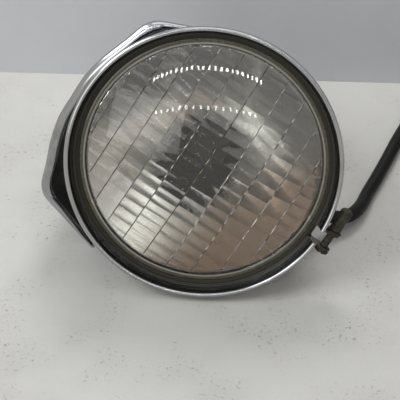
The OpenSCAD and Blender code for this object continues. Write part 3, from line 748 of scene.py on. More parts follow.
# The plug: collar, ribbed grip, body with three slots and a latch
plugSizes = {
    "collar": [(0, 0), (4.6, 0, 0.6), (5.4, 1.6, 0.4), (5.4, 6.2), (0, 6.2)],
    "latch": [(13, 5.2, 0.2), (24, 5.2, 0.2), (24, 6.3, 0.3), (21.5, 7.0, 0.4), (14, 6.1, 0.3)],
    "wide": 8, "high": 5.5, "from": 5, "to": 26, "ribs": 3, "ribStep": 1.7, "ribLong": 0.9,
    "slots": (-4.4, 0, 4.4), "slot": (0.6, 3), "slotFrom": 17,      # slot: its half width and height
}
plugPlace = tablePlace @ Matrix.Translation(plugStart) @ rotation(plugTurn + 180, "Z")


def plugParts():
    p, wide, high = plugSizes, plugSizes["wide"], plugSizes["high"]
    collar = turned(roundedOutline(p["collar"], False), "Y", steps=40)
    body = prism(boxOutline((-wide, -high), (wide, high), 1.2, 4), p["from"], p["to"], (0, 2, 1), 0.5)
    rib = boxOutline((-wide, 0.1 - high), (wide, high + 0.45), 1.2)
    starts = [p["from"] + 2 + p["ribStep"] * k for k in range(p["ribs"])]
    ribs = [prism(rib, y, y + p["ribLong"], (0, 2, 1), 0.2) for y in starts]
    latch = prism(roundedOutline(p["latch"], steps=2), -2.5, 2.5, (1, 2, 0), 0.3)
    return joined(collar, body, *ribs, latch)


harnessPlug = addMesh("harnessPlug", plugParts(), plugPlace, blackNylon)
slotWide, slotHigh = plugSizes["slot"]
plugHoles = [prism(boxOutline((x - slotWide, -slotHigh), (x + slotWide, slotHigh)),
                   plugSizes["slotFrom"], 30, (0, 2, 1)) for x in plugSizes["slots"]]
cutWith(harnessPlug, joined(*plugHoles), plugPlace)
settle(harnessTube, "lamp", "black_sleeve", "harness_sleeve", "harness_coil")
settle(coilTie, "lamp", "white_nylon", "coil_tie")
settle(harnessPlug, "lamp", "black_nylon", "harness_plug")
[tablePlace @ p for p in sleeveLine]
print("harness", round(lineLength(sleeveLine), 1), "mm")

rimSizes = {
    "skirt": [(75.95, 16, 0.3), (78.35, 16, 0.9), (78.65, 9.6, 3.0), (79.7, 4.8, 2.0)],
    "roll": (79.5, 1.5, 1.5),       # radius of its middle, its depth and its own radius
    "channel": [(77.5, 4.1, 0.8), (76.1, 6.7, 0.5), (74.6, 6.8, 0.4), (74.6, 7.6, 0.1), (77.45, 7.7),
                (77.45, 15.1, 0.4), (75.95, 15.1, 0.3)],
    "halfGap": 4.25, "steps": 224, "tabWall": 1.6, "tabRound": (4.9, 4.45), "boltRadius": 2.55,
    "tabFoot": [(4.9, -79.4), (4.9, -77.8), (-4.0, -77.8), (-4.6, -79.8)],      # back from the bolt, height
}
clampSizes = {
    "centre": (0, 8.0, -86.2), "headX": -5.85, "nutX": 6.85, "slot": 0.6, "slotX": (-9.75, -7.5), "threadX": -5.25,
    "head": [(0, -2.9), (2.6, -2.9, 1.0), (4.5, -1.9, 1.6), (4.5, -0.1, 0.3), (4.3, 0), (0, 0)],
    "core": [(0, -6.25), (2.1, -6.25), (2.1, 16.2, 0.6), (1.6, 16.85, 0.2), (0, 16.85)],
    "thread": {"length": 21.6, "pitch": 0.8, "radius": 2.12},
    "nut": [(2.55, 0), (3.3, 0, 0.2), (3.7, 0.5, 0.3), (3.7, 2.6), (3.35, 2.9), (3.35, 3.5), (3.7, 3.8),
            (3.7, 13.6, 1.2), (2.4, 15, 0.6), (0, 15), (0, 14), (2.55, 14)],
    "washer": [(2.55, 5.87, 0.2), (5.0, 5.87, 0.2), (5.0, 6.83, 0.3), (2.55, 6.83, 0.2)],
}


def tabParts(low):
    x, y, z = clampSizes["centre"]
    outline = arcLine((y, z), rimSizes["tabRound"], range(180, 361, 12))
    outline += [(y + back, high) for back, high in rimSizes["tabFoot"]]
    return prism(outline, low, low + rimSizes["tabWall"], (1, 2, 0), 0.28)


def rimParts():
    middle, depth, radius = rimSizes["roll"]
    bead = arcLine((middle, depth), (radius, -radius), range(-20, 201, 11))
    outline = roundedOutline(rimSizes["skirt"] + bead + rimSizes["channel"], steps=4)
    ring = lathe(outline, rimSizes["steps"], gap=rimSizes["halfGap"])
    return joined(ring, tabParts(-rimSizes["halfGap"] - rimSizes["tabWall"]), tabParts(rimSizes["halfGap"]))


trimRing = addMesh("trimRing", rimParts(), lampPlace, chromeRim)
cutWith(trimRing, rod(rimSizes["boltRadius"], -12, 12, "X", clampSizes["centre"], 32), lampPlace)
settle(trimRing, "lamp", "chrome_sheet", "trim_ring")
print("rim made")

sealLine = [(72.6, 7.72, 0.3), (74.4, 7.5, 0.5), (76.0, 7.8, 0.5), (76.0, 13.5, 0.3), (70.9, 13.5),
            (70.9, 12.5), (73.0, 12.5), (73.0, 8.5), (72.6, 8.5, 0.15)]
sealRing = addMesh("sealRing", lathe(roundedOutline(sealLine, steps=3)), lampPlace, sealRubber, sharp=50)
settle(sealRing, "lamp", "black_rubber", "seal_ring")

# The lens: a domed front, and rows of flutes on the inside, each row with its own pitch
lensSizes = {
    "rows": [69.3, 63.6, 52.1, 40.5, 27.8, 14.5, -0.6, -15.6, -29.5, -44.0, -56.1, -69.3],
    "pitches": [7, 7, 7, 9, 7, 5.5, 7, 7, 9, 12, 7],
    "flute": 0.55, "fluteRound": 9.0, "rowTilt": 0.12, "groove": 0.8, "grooveHalf": 0.3, "calm": 1.5,
    "shallowAbove": 27.8, "shallow": 0.4,       # the upper rows are pressed less deep
    "front": 8.5, "dome": 11.0, "domeRadius": 209.545, "wall": 3.0, "edge": 68.2, "step": 0.5, "rowStep": 1.05,
    "flange": [
        (68.65, 9.0), (68.85, 8.98), (69.1, 8.4), (69.4, 8.2), (69.7, 8.35), (69.95, 8.5), (71.2, 8.5),
        (72.3, 8.5), (72.8, 8.62), (73.0, 9.0), (73.0, 12.1), (72.8, 12.42), (72.4, 12.5), (70.1, 12.5),
        (69.4, 12.3), (68.95, 11.4), (68.7, 10.8)],
    "mouth": 68.4, "olive": range(5, 15),       # the stretches of the flange that are olive
}


def domeFront(radius):
    curve = lensSizes["domeRadius"]
    return lensSizes["front"] - lensSizes["dome"] + curve - math.sqrt(curve ** 2 - radius * radius)


def fluteHeight(x, z):
    rows = lensSizes["rows"]
    if min(abs(z - r) for r in rows[1:-1]) < 0.05:
        return -lensSizes["groove"] * 0.5
    i = next(k for k in range(len(rows) - 1) if rows[k + 1] <= z <= rows[k])
    pitch = lensSizes["pitches"][i]
    deep = min(lensSizes["flute"], pitch * pitch / (8 * lensSizes["fluteRound"]))
    deep *= lensSizes["shallow"] if z > lensSizes["shallowAbove"] else 1.0
    u = (x / pitch + (0.5 if i % 2 else 0.0)) % 1.0
    v = (z - rows[i + 1]) / (rows[i] - rows[i + 1])
    return deep * 4 * u * (1 - u) + lensSizes["rowTilt"] * (v - 0.5) * (1 if i % 2 else -1)


def lensLevels():
    rows, zs = lensSizes["rows"], set()
    for high, low in zip(rows, rows[1:]):
        span = high - low - 2 * lensSizes["grooveHalf"]
        n = max(2, math.ceil(span / lensSizes["rowStep"]))
        zs.update(round(low + lensSizes["grooveHalf"] + span * k / n, 4) for k in range(n + 1))
        zs.update((low, high))
    return sorted(z for z in zs if abs(z) < lensSizes["edge"])


def lensParts():
    step, edge = lensSizes["step"], lensSizes["edge"]
    count = int(edge / step)
    xs, zs = [step * i for i in range(-count, count + 1)], lensLevels()
    inside = [[x * x + z * z < edge * edge for x in xs] for z in zs]
    cells = [(i, j) for j in range(len(zs) - 1) for i in range(len(xs) - 1)
             if inside[j][i] and inside[j][i + 1] and inside[j + 1][i] and inside[j + 1][i + 1]]
    index, points = {}, []
    for i, j in cells:
        for key in ((i, j), (i + 1, j), (i + 1, j + 1), (i, j + 1)):
            if key not in index:
                index[key] = len(points)
                x, z = xs[key[0]], zs[key[1]]
                points.append((x, domeFront(math.hypot(x, z)), z))
    layer = len(points)
    for x, front, z in points[:layer]:
        calm = max(0.0, min(1.0, (edge - 0.4 - math.hypot(x, z)) / lensSizes["calm"]))      # flat beside the edge
        points.append((x, front + lensSizes["wall"] - lensSizes["flute"] + calm * fluteHeight(x, z), z))
    faces, used = [], {}
    for i, j in cells:
        a, b, c, d = index[i, j], index[i + 1, j], index[i + 1, j + 1], index[i, j + 1]
        faces += [(a, b, c, d), (layer + d, layer + c, layer + b, layer + a)]
        for pair in ((a, b), (b, c), (c, d), (d, a)):
            used[tuple(sorted(pair))] = used.get(tuple(sorted(pair)), 0) + 1
    rim = sorted({v for pair, times in used.items() if times == 1 for v in pair},
                 key=lambda v: math.atan2(points[v][2], points[v][0]))
    angles = [math.atan2(points[v][2], points[v][0]) for v in rim]
    slots, previous = [0] * len(faces), rim
    outline = [(lensSizes["mouth"], domeFront(lensSizes["mouth"]))] + lensSizes["flange"]
    for k in range(len(outline) + 1):
        ring = [layer + v for v in rim]
        if k < len(outline):
            radius, depth = outline[k]
            ring = range(len(points), len(points) + len(rim))
            points += [(radius * math.cos(a), depth, radius * math.sin(a)) for a in angles]
        for n in range(len(rim)):
            m = (n + 1) % len(rim)
            faces.append((previous[n], previous[m], ring[m], ring[n]))
            slots.append(1 if k in lensSizes["olive"] else 0)
        previous = ring
    return points, faces, slots


lens = addMesh("lens", lensParts(), lampPlace, lensGlass, oliveFlange, sharp=24)
settle(lens, "lamp", "clear_glass", "lens")
print("lens", len(lens.data.polygons), "faces")


# A geometry tree with a named input for each size
class Grower(NodeTree):
    def __init__(self, name, sizes):
        super().__init__(bpy.data.node_groups.new(name, "GeometryNodeTree"))
        self.names = {}
        for key, value in sizes.items():
            kind = "NodeSocketInt" if isinstance(value, int) else "NodeSocketFloat"
            self.names[key] = self.tree.interface.new_socket(key, in_out="INPUT", socket_type=kind).identifier
        self.tree.interface.new_socket("Geometry", in_out="OUTPUT", socket_type="NodeSocketGeometry")
        self.source = self.tree.nodes.new("NodeGroupInput")
        self.sizes = sizes

    def size(self, key):
        return Wire(self, self.source.outputs[list(self.sizes).index(key)])

    def place(self, x, y, z):
        return self.node("ShaderNodeCombineXYZ", None, {0: x, 1: y, 2: z})

    def points(self, geometry, position):
        return self.node("GeometryNodeSetPosition", None, {"Geometry": geometry, "Position": position})

    def circle(self, count, radius):
        return self.node("GeometryNodeCurvePrimitiveCircle", None, {"Resolution": count, "Radius": radius})

    def sweep(self, curve, profile, caps=False):
        return self.node("GeometryNodeCurveToMesh", None,
                         {"Curve": curve, "Profile Curve": profile, "Fill Caps": caps})

    # Runs the tree once and keeps the result as a plain mesh
    def bake(self, name, shape, material, place, sharp):
        real = self.node("GeometryNodeRealizeInstances", None, {0: shape})
        coated = self.node("GeometryNodeSetMaterial", None, {"Geometry": real, "Material": material})
        self.node("NodeGroupOutput", None, {0: coated})
        holder = newObject(name, bpy.data.meshes.new(name))
        change = holder.modifiers.new("grow", "NODES")
        change.node_group = self.tree
        for key, value in self.sizes.items():
            change[self.names[key]] = value
        graph = bpy.context.evaluated_depsgraph_get()
        mesh = bpy.data.meshes.new_from_object(holder.evaluated_get(graph))
        bpy.data.objects.remove(holder)
        placeMesh(mesh, place, sharp)
        return newObject(name, mesh)


bowlSizes = {"mouth": 68.4, "focus": 19.494, "vertex": 72.5, "wall": 2.6, "around": 161, "along": 61}


# A paraboloid with a wall, from one grid: its columns run round, its rows down the inside and up the outside
def makeBowl():
    grow = Grower("bowlTree", bowlSizes)
    grid = grow.node("GeometryNodeMeshGrid", None, {
        "Size X": 1.0, "Size Y": 1.0, "Vertices X": grow.size("around"), "Vertices Y": grow.size("along")})
    x, y, z = grow.split(grow.node("GeometryNodeInputPosition"))
    turn, signed = (x + 0.5) * (2 * math.pi), y * 2.0
    gaps = grow.size("along") - 1.0
    share = grow.maths("MAXIMUM", (grow.maths("ABSOLUTE", signed) * gaps - 1.0) / (gaps - 1.0), 0.0)
    # The last row closes the wall, so it lies on the inside again
    outer = grow.maths("GREATER_THAN", signed, 0.0) * (1.0 - grow.maths("GREATER_THAN", signed, 0.999))
    radius, focus = grow.size("mouth") * share, grow.size("focus")
    slope = (radius * radius + focus * focus * 4.0) ** 0.5
    wall = outer * grow.size("wall")
    depth = grow.size("vertex") - radius * radius / (focus * 4.0) + wall * (focus * 2.0) / slope
    wide = radius + wall * radius / slope
    spot = grow.place(wide * grow.maths("COSINE", turn), depth, wide * grow.maths("SINE", turn))
    merged = grow.node("GeometryNodeMergeByDistance", None,
                       {"Geometry": grow.points(grid, spot), "Distance": 0.002})
    return grow.bake("bowl", merged, mirrorBowl, lampPlace, 50)


bowl = makeBowl()
bowl.data.materials.append(bowlBack)
intoLamp = lampPlace.inverted()
for face in bowl.data.polygons:         # the outside and the hidden end of the bowl aren't silvered
    spot, facing = intoLamp @ face.center, (intoLamp.to_3x3() @ face.normal).normalized()
    outwards = facing.x * spot.x + facing.z * spot.z >= 0
    if (facing.y > -0.05 and outwards) or (facing.y > 0 and math.hypot(spot.x, spot.z) < 2):
        face.material_index = 1
settle(bowl, "lamp", "silvered_glass", "reflector")

# Aiming pads: three raised rings on the flange, each with a low knob in it
padSizes = {"count": 3, "first": -86.0, "apart": 122.0, "closer": 7.0, "circle": 70.1, "front": 8.3,
            "ring": 1.85, "bead": 0.5, "knob": 1.5}


def makePads():
    grow = Grower("padTree", padSizes)
    line = grow.node("GeometryNodeMeshLine", None, {"Count": grow.size("count"), "Offset": (0, 0, 0)})
    index, circle = grow.node("GeometryNodeInputIndex"), grow.size("circle")
    degrees = grow.size("first") + index * grow.size("apart") - index * (index - 1.0) * grow.size("closer")
    angle = degrees * (math.pi / 180)
    across, up = grow.maths("COSINE", angle), grow.maths("SINE", angle)
    spot = grow.place(circle * across, grow.size("front"), circle * up)
    tube = grow.sweep(grow.circle(28, grow.size("ring")), grow.circle(10, grow.size("bead")))
    knob = grow.node("GeometryNodeMeshUVSphere", None,
                     {"Segments": 20, "Rings": 10, "Radius": grow.size("knob")})
    flat = grow.node("GeometryNodeTransform", None, {"Geometry": knob, "Scale": (1, 1, 0.28)})
    both = grow.node("GeometryNodeJoinGeometry", None, {0: tube})
    grow.tree.links.new(flat.socket, both.socket.node.inputs[0])
    placed = grow.node("GeometryNodeInstanceOnPoints", None,
                       {"Points": grow.points(line, spot), "Instance": both, "Rotation": (math.pi / 2, 0, 0)})
    return grow.bake("aimingPads", placed, oliveFlange, lampPlace, 60)


settle(makePads(), "lamp", "clear_glass", "lens")
print("lamp unit made")


# A helical ridge: the thread of a screw, standing on its core
def makeThread(name, sizes, material, place):
    grow = Grower(name + "Tree", sizes)
    length, pitch, radius = grow.size("length"), grow.size("pitch"), grow.size("radius")
    spiral = grow.node("GeometryNodeCurveSpiral", None, {
        "Resolution": 20, "Rotations": length / pitch, "Start Radius": radius, "End Radius": radius,
        "Height": length})
    return grow.bake(name, grow.sweep(spiral, grow.circle(4, pitch * 0.42), True), material, place, 30)


# Rings that get smaller along a tapered sleeve
def makeRibs(name, sizes, material, place):
    grow = Grower(name + "Tree", sizes)
    line = grow.node("GeometryNodeMeshLine", None,
                     {"Count": grow.size("count"), "Offset": grow.place(0.0, 0.0, grow.size("step"))})
    shrink = 1.0 - grow.node("GeometryNodeInputIndex") * grow.size("taper")
    tube = grow.sweep(grow.circle(48, grow.size("radius")), grow.circle(10, grow.size("bead")))
    placed = grow.node("GeometryNodeInstanceOnPoints", None,
                       {"Points": line, "Instance": tube, "Scale": grow.place(shrink, shrink, 1.0)})
    return grow.bake(name, placed, material, place, 60)


# A turned piece of the clamp, along its screw
def clampPiece(name, part, x, closed, steps, sides=48):
    middle = Vector(clampSizes["centre"]) + Vector((x, 0, 0))
    outline = roundedOutline(clampSizes[part], closed, steps)
    return addMesh(name, turned(outline, "X", middle, sides, closed), lampPlace, rustySteel, sharp=30)


clampScrew = clampPiece("clampScrew", "head", clampSizes["headX"], False, 6)
slotEdge = clampSizes["slot"]
cutWith(clampScrew, prism(boxOutline((-8, -slotEdge), (8, slotEdge)), *clampSizes["slotX"], (1, 2, 0)),
        lampPlace @ Matrix.Translation(clampSizes["centre"]))
clampCore = clampPiece("clampCore", "core", 0, False, 3, 32)
threadPlace = (lampPlace @ Matrix.Translation(clampSizes["centre"])
               @ Matrix.Translation((clampSizes["threadX"], 0, 0)) @ rotation(90, "Y"))
clampThread = makeThread("clampThread", clampSizes["thread"], rustySteel, threadPlace)
for piece in (clampScrew, clampCore, clampThread):
    settle(piece, "screw", "chrome_hardware", "clamp_screw")
clampNut = clampPiece("clampNut", "nut", clampSizes["nutX"], True, 5)
clampWasher = clampPiece("clampWasher", "washer", 0, True, 3)
settle(clampNut, "barrel", "chrome_hardware", "clamp_nut")
settle(clampWasher, "lamp", "chrome_hardware", "clamp_washer")
print("clamp made")

bucketSizes = {
    "front": [(68.4, 13.5), (77.2, 13.5, 0.3), (77.2, 14.7, 0.3), (69.6, 14.7, 1.6), (69.6, 19.5, 6),
              (52, 74, 5)],
    "domeFrom": 74, "dome": (52, 38), "wall": 1.2, "mouth": (68.4, 19.5), "steps": 160,
    "pocket": ((-16.8, 57.4), (-0.2, 82.6)), "pocketFrom": 37.0, "outlet": 6.75, "lipTo": 13.95,
}


def bucketParts():
    b = bucketSizes
    (wide, deep), start, wall = b["dome"], b["domeFrom"], b["wall"]
    dome = arcLine((0, start), (wide, deep), range(6, 90, 6))
    innerDome = arcLine((0, start), (wide - wall, deep - wall), range(84, 0, -6))
    outline = roundedOutline(b["front"] + dome, False) + [(0, start + deep), (0, start + deep - wall)]
    return lathe(outline + innerDome + [(wide - wall, start), b["mouth"]], b["steps"])


bucket = addMesh("bucket", bucketParts(), lampPlace, chromeSheet, bucketInside, lipBlack)
cutWith(bucket, prism(boxOutline(*bucketSizes["pocket"]), bucketSizes["pocketFrom"], 100), lampPlace)
cutWith(bucket, rod(bucketSizes["outlet"], -10, 10, "Z", steps=64), outletPlace)
for face in bucket.data.polygons:       # the lip that the seal sits on is painted black
    if (intoLamp @ face.center).y < bucketSizes["lipTo"]:
        face.material_index = 2
settle(bucket, "lamp", "chrome_sheet", "bucket")

reliefSizes = {
    "outline": [(4.25, -3.6), (8.55, -3.6, 0.6), (8.55, -2.0, 0.3), (6.7, -2.0), (6.7, 0.1), (8.55, 0.1, 0.3),
                (8.55, 1.9, 0.8), (6.3, 4.5, 1.0), (5.4, 20, 0.8), (0, 20), (0, 6), (4.25, 6)],
    "ribs": {"count": 8, "step": 1.75, "radius": 6.05, "taper": 0.0148, "bead": 0.42}, "ribsFrom": 5.6,
}
reliefParts = turned(roundedOutline(reliefSizes["outline"], steps=4), "Z", steps=48, closed=True)
relief = addMesh("relief", reliefParts, outletPlace, reliefRubber, sharp=40)
reliefRibs = makeRibs("reliefRibs", reliefSizes["ribs"], reliefRubber,
                      outletPlace @ Matrix.Translation((0, 0, reliefSizes["ribsFrom"])))
for piece in (relief, reliefRibs):
    settle(piece, "lamp", "black_rubber", "grommet")
print("bucket made")

# The cap in front of the filaments
shieldLine = [(0, 42.5), (11.6, 42.5, 1.5), (13, 43.6, 1.0), (13, 49.5, 0.2), (12.2, 49.5, 0.2),
              (12.2, 44.2, 1.0), (11.2, 43.4, 0.6), (0, 43.4)]
glareShield = addMesh("glareShield", lathe(roundedOutline(shieldLine, False, 4), 72), lampPlace, shieldMetal)
settle(glareShield, "lamp", "chrome_hardware", "glare_shield")

filamentSizes = {
    "half": 5, "turns": 13, "turnPoints": 10, "coil": 0.55, "wire": 0.11, "depth": 54.5, "at": (-3.0, 3.0),
    "leg": [(1, 43.6), (1, 49), (1, 53.2), (0.98, 54.9)], "legRadius": 0.4, "tip": [0.32, 0.2],
}


def filamentParts():
    f, parts = filamentSizes, []
    steps = f["turns"] * f["turnPoints"]
    for z in f["at"]:
        line = []
        for k in range(steps + 1):
            a = 2 * math.pi * k / f["turnPoints"]
            line.append((f["half"] * (2 * k / steps - 1), f["depth"] + f["coil"] * math.cos(a),
                         z + f["coil"] * math.sin(a)))
        parts.append(tubeMesh(line, f["wire"], 5))
        for x in (-f["half"], f["half"]):
            leg = smoothLine([(x * out, depth, z) for out, depth in f["leg"]], 4)
            parts.append(tubeMesh(leg, [f["legRadius"]] * (len(leg) - 2) + f["tip"], 8))
    return joined(*parts)


filaments = addMesh("filamentCoils", filamentParts(), lampPlace, tungsten, sharp=50)
settle(filaments, "lamp", "tungsten", "filaments")

# The hood: a wall between an arch at the front, which leans, and a smaller one at the tail
hoodSizes = {
    "front": {"cornerX": 66.1, "top": 87.5, "drop": 19.6, "footX": 82.0, "footZ": 25.6},
    "tail": {"cornerX": 42, "top": 63.5, "drop": 8, "footX": 46, "footZ": 43.5},
    "arch": [(0.0, 0.035), (0.24, 0.05), (0.48, 0.23), (0.71, 0.5), (0.86, 0.66), (0.94, 0.8), (1.0, 1.0)],
    "knee": (0.17, 5.8), "lean": 10.3, "frontY": -46.0, "tailY": 50.0, "wall": 2.4,
    "lipHigh": 6.5, "lipDeep": 3.4, "lipRound": 1.9, "lipFlat": 0.4, "lipEnds": (0.5, 0.92, 1.5),
    "tailEdge": 0.9, "skin": (0.06, 0.985, 0.99), "along": 22,      # skin: shares of the way from front to tail
    "groove": [(2.6, 0.0, 0), (1.6, 0.02, 2), (1.25, 0.5, 2), (0.75, 0.5, 2), (0.4, 0.0, 0)],
}


# Half of an arch, from the crown out to the foot, as the CAD source has it
def archHalf(cornerX, top, drop, footX, footZ, inset):
    line = [((cornerX - inset) * a, top - inset - drop * b) for a, b in hoodSizes["arch"]]
    kneeX = cornerX - inset + (footX - cornerX) * hoodSizes["knee"][0]
    kneeZ = top - drop - hoodSizes["knee"][1]
    return line + [(kneeX + t * (footX - inset - kneeX), kneeZ + t * (footZ - kneeZ))
                   for t in (0.0, 0.25, 0.5, 0.75, 1.0)]


def hoodArch(end, inset):
    line = smoothLine([(x, 0, z) for x, z in archHalf(**hoodSizes[end], inset=inset)], 6)
    whole = [Vector((-p.x, 0, p.z)) for p in reversed(line[1:])] + line
    if end == "tail":
        return [Vector((p.x, hoodSizes["tailY"], p.z)) for p in whole]
    top, lean = hoodSizes["front"]["top"], math.radians(hoodSizes["lean"])
    return [Vector((p.x, hoodSizes["frontY"] + (top - p.z) * math.sin(lean), p.z * math.cos(lean)))
            for p in whole]


# One ring of the hood's wall, as (point, slot): the skin forward, groove and lip, the inside back again
def hoodRing(front, tail, frontIn, tailIn, side):
    h, wall, deep = hoodSizes, hoodSizes["wall"], hoodSizes["lipDeep"]
    back = (tail - front).normalized()
    inward = frontIn - front
    inward = (inward - back * inward.dot(back)).normalized()
    # The lip is highest over the crown and runs out towards the feet
    start, end, power = h["lipEnds"]
    high = wall + (h["lipHigh"] - wall) * (1 - max(0.0, min(1.0, (side - start) / (end - start))) ** power)
    near, far, farIn = h["skin"]

    def beside(depth, height):
        return front + back * depth + inward * height

    ring = [(tail + inward * h["tailEdge"], 0), (front.lerp(tail, far), 0)]
    ring += [(front.lerp(tail, 1 - j / h["along"] * (1 - near)), 0) for j in range(1, h["along"])]
    # The groove's faces (slot 2) are painted black: painted shade in the crease
    ring += [(beside(deep + past, height), slot) for past, height, slot in h["groove"]]
    for step in range(11):
        a = math.radians(-90 + 18 * step)
        depth = h["lipRound"] * (1 - math.cos(a)) + (h["lipFlat"] if step in (0, 10) else 0)
        ring.append((beside(depth, high / 2 * (1 + math.sin(a))), 0))
    # The back of the lip and the inside (slot 1) are dark: black paint, and painted shade for the shadow inside
    # the hood
    ring += [(beside(deep - 0.3, high - 0.15), 0), (beside(deep, high - 0.6), 1),
             (beside(deep + 0.2, wall + 0.4), 1)]
    ring += [(frontIn.lerp(tailIn, near + (farIn - near) * j / h["along"]), 1) for j in range(h["along"] + 1)]
    return ring + [(tailIn - inward * h["tailEdge"], 1)]


def hoodParts():
    lines = [hoodArch("front", 0), hoodArch("tail", 0)]
    lines += [hoodArch("front", hoodSizes["wall"]), hoodArch("tail", hoodSizes["wall"])]
    middle = (len(lines[0]) - 1) / 2
    rings = [hoodRing(*spots, abs(k - middle) / middle) for k, spots in enumerate(zip(*lines))]
    slots = [max(ring[j][1], ring[(j + 1) % len(ring)][1]) for ring in rings[:-1] for j in range(len(ring))]
    points, faces = loft([[p for p, slot in ring] for ring in rings], capped=True)
    return points, faces, slots + [0, 0]


hood = addMesh("hood", hoodParts(), hoodPlace, chromeCasting, blackInside, grooveBlack)

# Under the hood: the boss of the stud, and the pad of the two fork bolts
bossSizes = {
    "boss": [(0, 70.1), (10.2, 70.1, 0.8), (11.0, 70.9, 0.6), (12.4, 73.5), (0, 73.5)],
    "top": 73.8, "lean": 0.25, "studHole": 4.1, "studTo": 72.7,
    "pad": [(34, 57.2), (29, 58.2), (19.6, 60.3), (9.8, 61.7), (0, 61.9)],
    "padFoot": 52.5, "padDepth": (28.2, 49.4), "forkHole": 4.25, "forkX": 22.25, "forkY": 39,
}


def bossParts():
    b, top = bossSizes, bossSizes["boss"][-1][1]
    points, faces = turned(roundedOutline(b["boss"], False, 4), "Z", steps=56)
    # The boss's top leans with the skin above it, and the pad keeps inside the arch of the tail
    points = [(x, y, b["top"] - b["lean"] * y if z > top - 0.01 else z) for x, y, z in points]
    wide = b["pad"][0][0]
    padLine = [(-wide, b["padFoot"]), (wide, b["padFoot"])] + b["pad"] + [(-x, z) for x, z in b["pad"][-2::-1]]
    return joined((points, faces), prism(padLine, *b["padDepth"], (0, 2, 1), 0.4))


# The bosses are dark: black paint, and painted shade under the hood
hoodInner = addMesh("hoodBosses", bossParts(), hoodPlace, blackInside)
forkHoles = [rod(bossSizes["forkHole"], 20, 90, "Z", (x, bossSizes["forkY"], 0))
             for x in (-bossSizes["forkX"], bossSizes["forkX"])]
cutWith(hoodInner, joined(*forkHoles, rod(bossSizes["studHole"], 50, bossSizes["studTo"], "Z")), hoodPlace)
cutWith(hood, joined(*forkHoles), hoodPlace)
settle(hood, "bracket", "chromed_casting", "hood")
settle(hoodInner, "bracket", "chromed_casting", "hood")
print("hood made")

# CAD pieces that keep their shape and get a finish
kept = {
    "swivel_pocket": bucketInside, "swivel_block": darkSteel, "tilt_bolt": zincSteel, "tilt_nut": zincSteel,
    "stud_nut": zincSteel, "stud_washer": zincSteel, "filament_posts": zincSteel, "terminals": brassBlade,
    "connector": socketNylon, "inner_wires": wireInsulation,
}
for name, material in kept.items():
    holder = frame["nodes"][name]
    for shape in [holder, *holder.children_recursive]:
        if shape.type == "MESH":
            for slot in shape.material_slots:
                slot.material = material
print("kept pieces finished")

stageLook = {
    "cloth": tone(203, 202, 198), "clothDark": tone(186, 185, 181), "cloudScale": 0.012, "weaveScale": 0.9,
    "weaveStretch": (1.0, 1.6, 1.0), "mark": tone(120, 114, 98), "markScale": 0.35, "markPatches": 0.025,
    "wall": tone(212, 213, 217), "wallDark": tone(160, 161, 165), "wallAt": 151, "wallHigh": 620, "half": 1600,
}


def clothFinish():
    paint, look = Paint("clothTable", tablePlace), stageLook
    weave = paint.noise(look["weaveScale"], 3.0, 0.6, look["weaveStretch"])
    cloud = paint.noise(look["cloudScale"], 4.0, 0.6)
    shade = paint.blend(cloud.fade(0.35, 0.7) * 0.6 + weave * 0.25, look["cloth"], look["clothDark"])
    marks = paint.noise(look["markScale"], 6.0, 0.75).fade(0.55, 0.66)
    marks = marks * paint.noise(look["markPatches"], 3.0, 0.6).fade(0.48, 0.6)
    return paint.plain({"Base Color": paint.blend(marks * 0.75, shade, look["mark"]), "Roughness": 0.95,
                        "Normal": paint.bump(weave, 0.3, 0.001)})


# The wall is clear from behind and to the lights, so it hides the headlamp from no side
def wallFinish():
    paint = Paint("paleWall", tablePlace)
    shade = paint.blend(paint.noise(0.02, 4.0, 0.6) * 0.3, stageLook["wall"], stageLook["wallDark"])
    front = paint.surface({"Base Color": shade, "Roughness": 0.9})
    back, shadow = paint.node("ShaderNodeNewGeometry", out=6), paint.node("ShaderNodeLightPath", out=1)
    clear = paint.node("ShaderNodeBsdfTransparent")
    return paint.done(paint.node("ShaderNodeMixShader", None,
                                 {0: paint.maths("MAXIMUM", back, shadow), 1: front, 2: clear}))


def makeStage():
    half, y, high = stageLook["half"], stageLook["wallAt"], stageLook["wallHigh"]
    tableSpots = [(-half, -half, 0), (half, -half, 0), (half, half, 0), (-half, half, 0)]
    wallSpots = [(-half, y, 0), (half, y, 0), (half, y, high), (-half, y, high)]
    for name, spots, material in (("table", tableSpots, clothFinish()), ("wall", wallSpots, wallFinish())):
        addMesh(name, (spots, [(0, 1, 2, 3)]), tablePlace, material, outwards=False)


makeStage()

lamps = [
    {"name": "windowLight", "at": (-0.75, -0.35, 0.95), "aim": (0.0, 0.0, 0.05), "size": (0.7, 0.5),
     "power": 6.0, "colour": (0.97, 0.985, 1.0)},
    {"name": "ceilingLight", "at": (0.1, -0.2, 1.4), "aim": (0.0, 0.1, 0.0), "size": (1.0, 0.7),
     "power": 2.0, "colour": (1.0, 0.99, 0.97)},
    {"name": "backLight", "at": (0.06, 0.72, 1.12), "aim": (0.0, 0.0, 0.0), "size": (0.5, 0.3),
     "power": 6.0, "colour": (1.0, 0.995, 0.98)},
    {"name": "paneLight", "at": (-0.66, -1.45, 0.66), "aim": (0.0, 0.0, 0.05), "size": (0.8, 0.55),
     "power": 2.6, "colour": (1.0, 0.985, 0.96)},
]
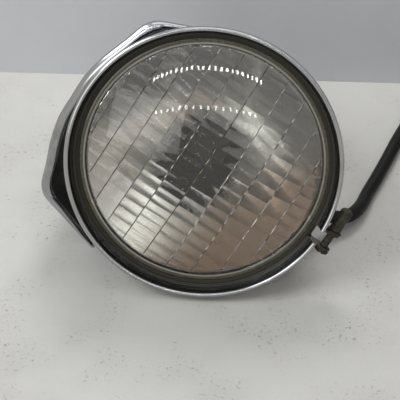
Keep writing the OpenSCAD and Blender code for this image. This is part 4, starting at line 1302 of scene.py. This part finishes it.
# Far rows of small panes, which the glass and the rim show as dotted lines
paneRows = [
    {"name": "farPane", "count": 22, "middle": (-0.06, -1.56, 1.5), "half": 0.8, "back": 0.28,
     "size": (0.026, 0.06), "power": 0.14},
    {"name": "lowPane", "count": 16, "middle": (-0.06, -1.56, 0.92), "half": 0.62, "back": 0.2,
     "size": (0.022, 0.045), "power": 0.05},
]
for row in paneRows:
    for k in range(row["count"]):
        t = 2 * k / (row["count"] - 1) - 1
        x, y, z = row["middle"]
        lamps.append({"name": f'{row["name"]}{k + 1}', "at": (x + row["half"] * t, y - row["back"] * t * t, z),
                      "aim": (0.0, -0.03, 0.12), "size": row["size"], "power": row["power"],
                      "colour": (1.0, 1.0, 1.0)})


def makeLamps():
    for lamp in lamps:
        data = bpy.data.lights.new(lamp["name"], "AREA")
        data.shape = "RECTANGLE"
        data.size, data.size_y = lamp["size"]
        data.energy = lamp["power"]
        data.color = lamp["colour"]
        light = newObject(lamp["name"], data)
        light.location = lamp["at"]
        away = Vector(lamp["at"]) - Vector(lamp["aim"])
        light.rotation_euler = away.to_track_quat("Z", "Y").to_euler()


makeLamps()

roomLook = {
    "stops": [(0.0, tone(150, 146, 140)), (0.5, tone(184, 179, 170)), (0.66, tone(180, 178, 173)),
              (1.0, tone(196, 199, 204))],
    "plain": 0.62, "shown": 1.35,       # strength on dull surfaces, and as metal and glass show it
}


def makeRoom():
    world = bpy.data.worlds.new("room")
    world.use_nodes = True
    bpy.context.scene.world = world
    room = NodeTree(world.node_tree)
    room.tree.nodes.clear()
    x, y, z = room.split(room.node("ShaderNodeTexCoord"))
    shade = room.node("ShaderNodeValToRGB", {"stops": roomLook["stops"]}, {0: z * 0.5 + 0.5})
    glossy, passed = room.node("ShaderNodeLightPath", out=3), room.node("ShaderNodeLightPath", out=6)
    strength = (room.maths("MAXIMUM", glossy, passed) * (roomLook["shown"] - roomLook["plain"])
                + roomLook["plain"])
    light = room.node("ShaderNodeBackground", None, {"Color": shade, "Strength": strength})
    room.node("ShaderNodeOutputWorld", None, {"Surface": light})


makeRoom()

bpy.context.scene.view_settings.view_transform = "Standard"
print("stage and light made")
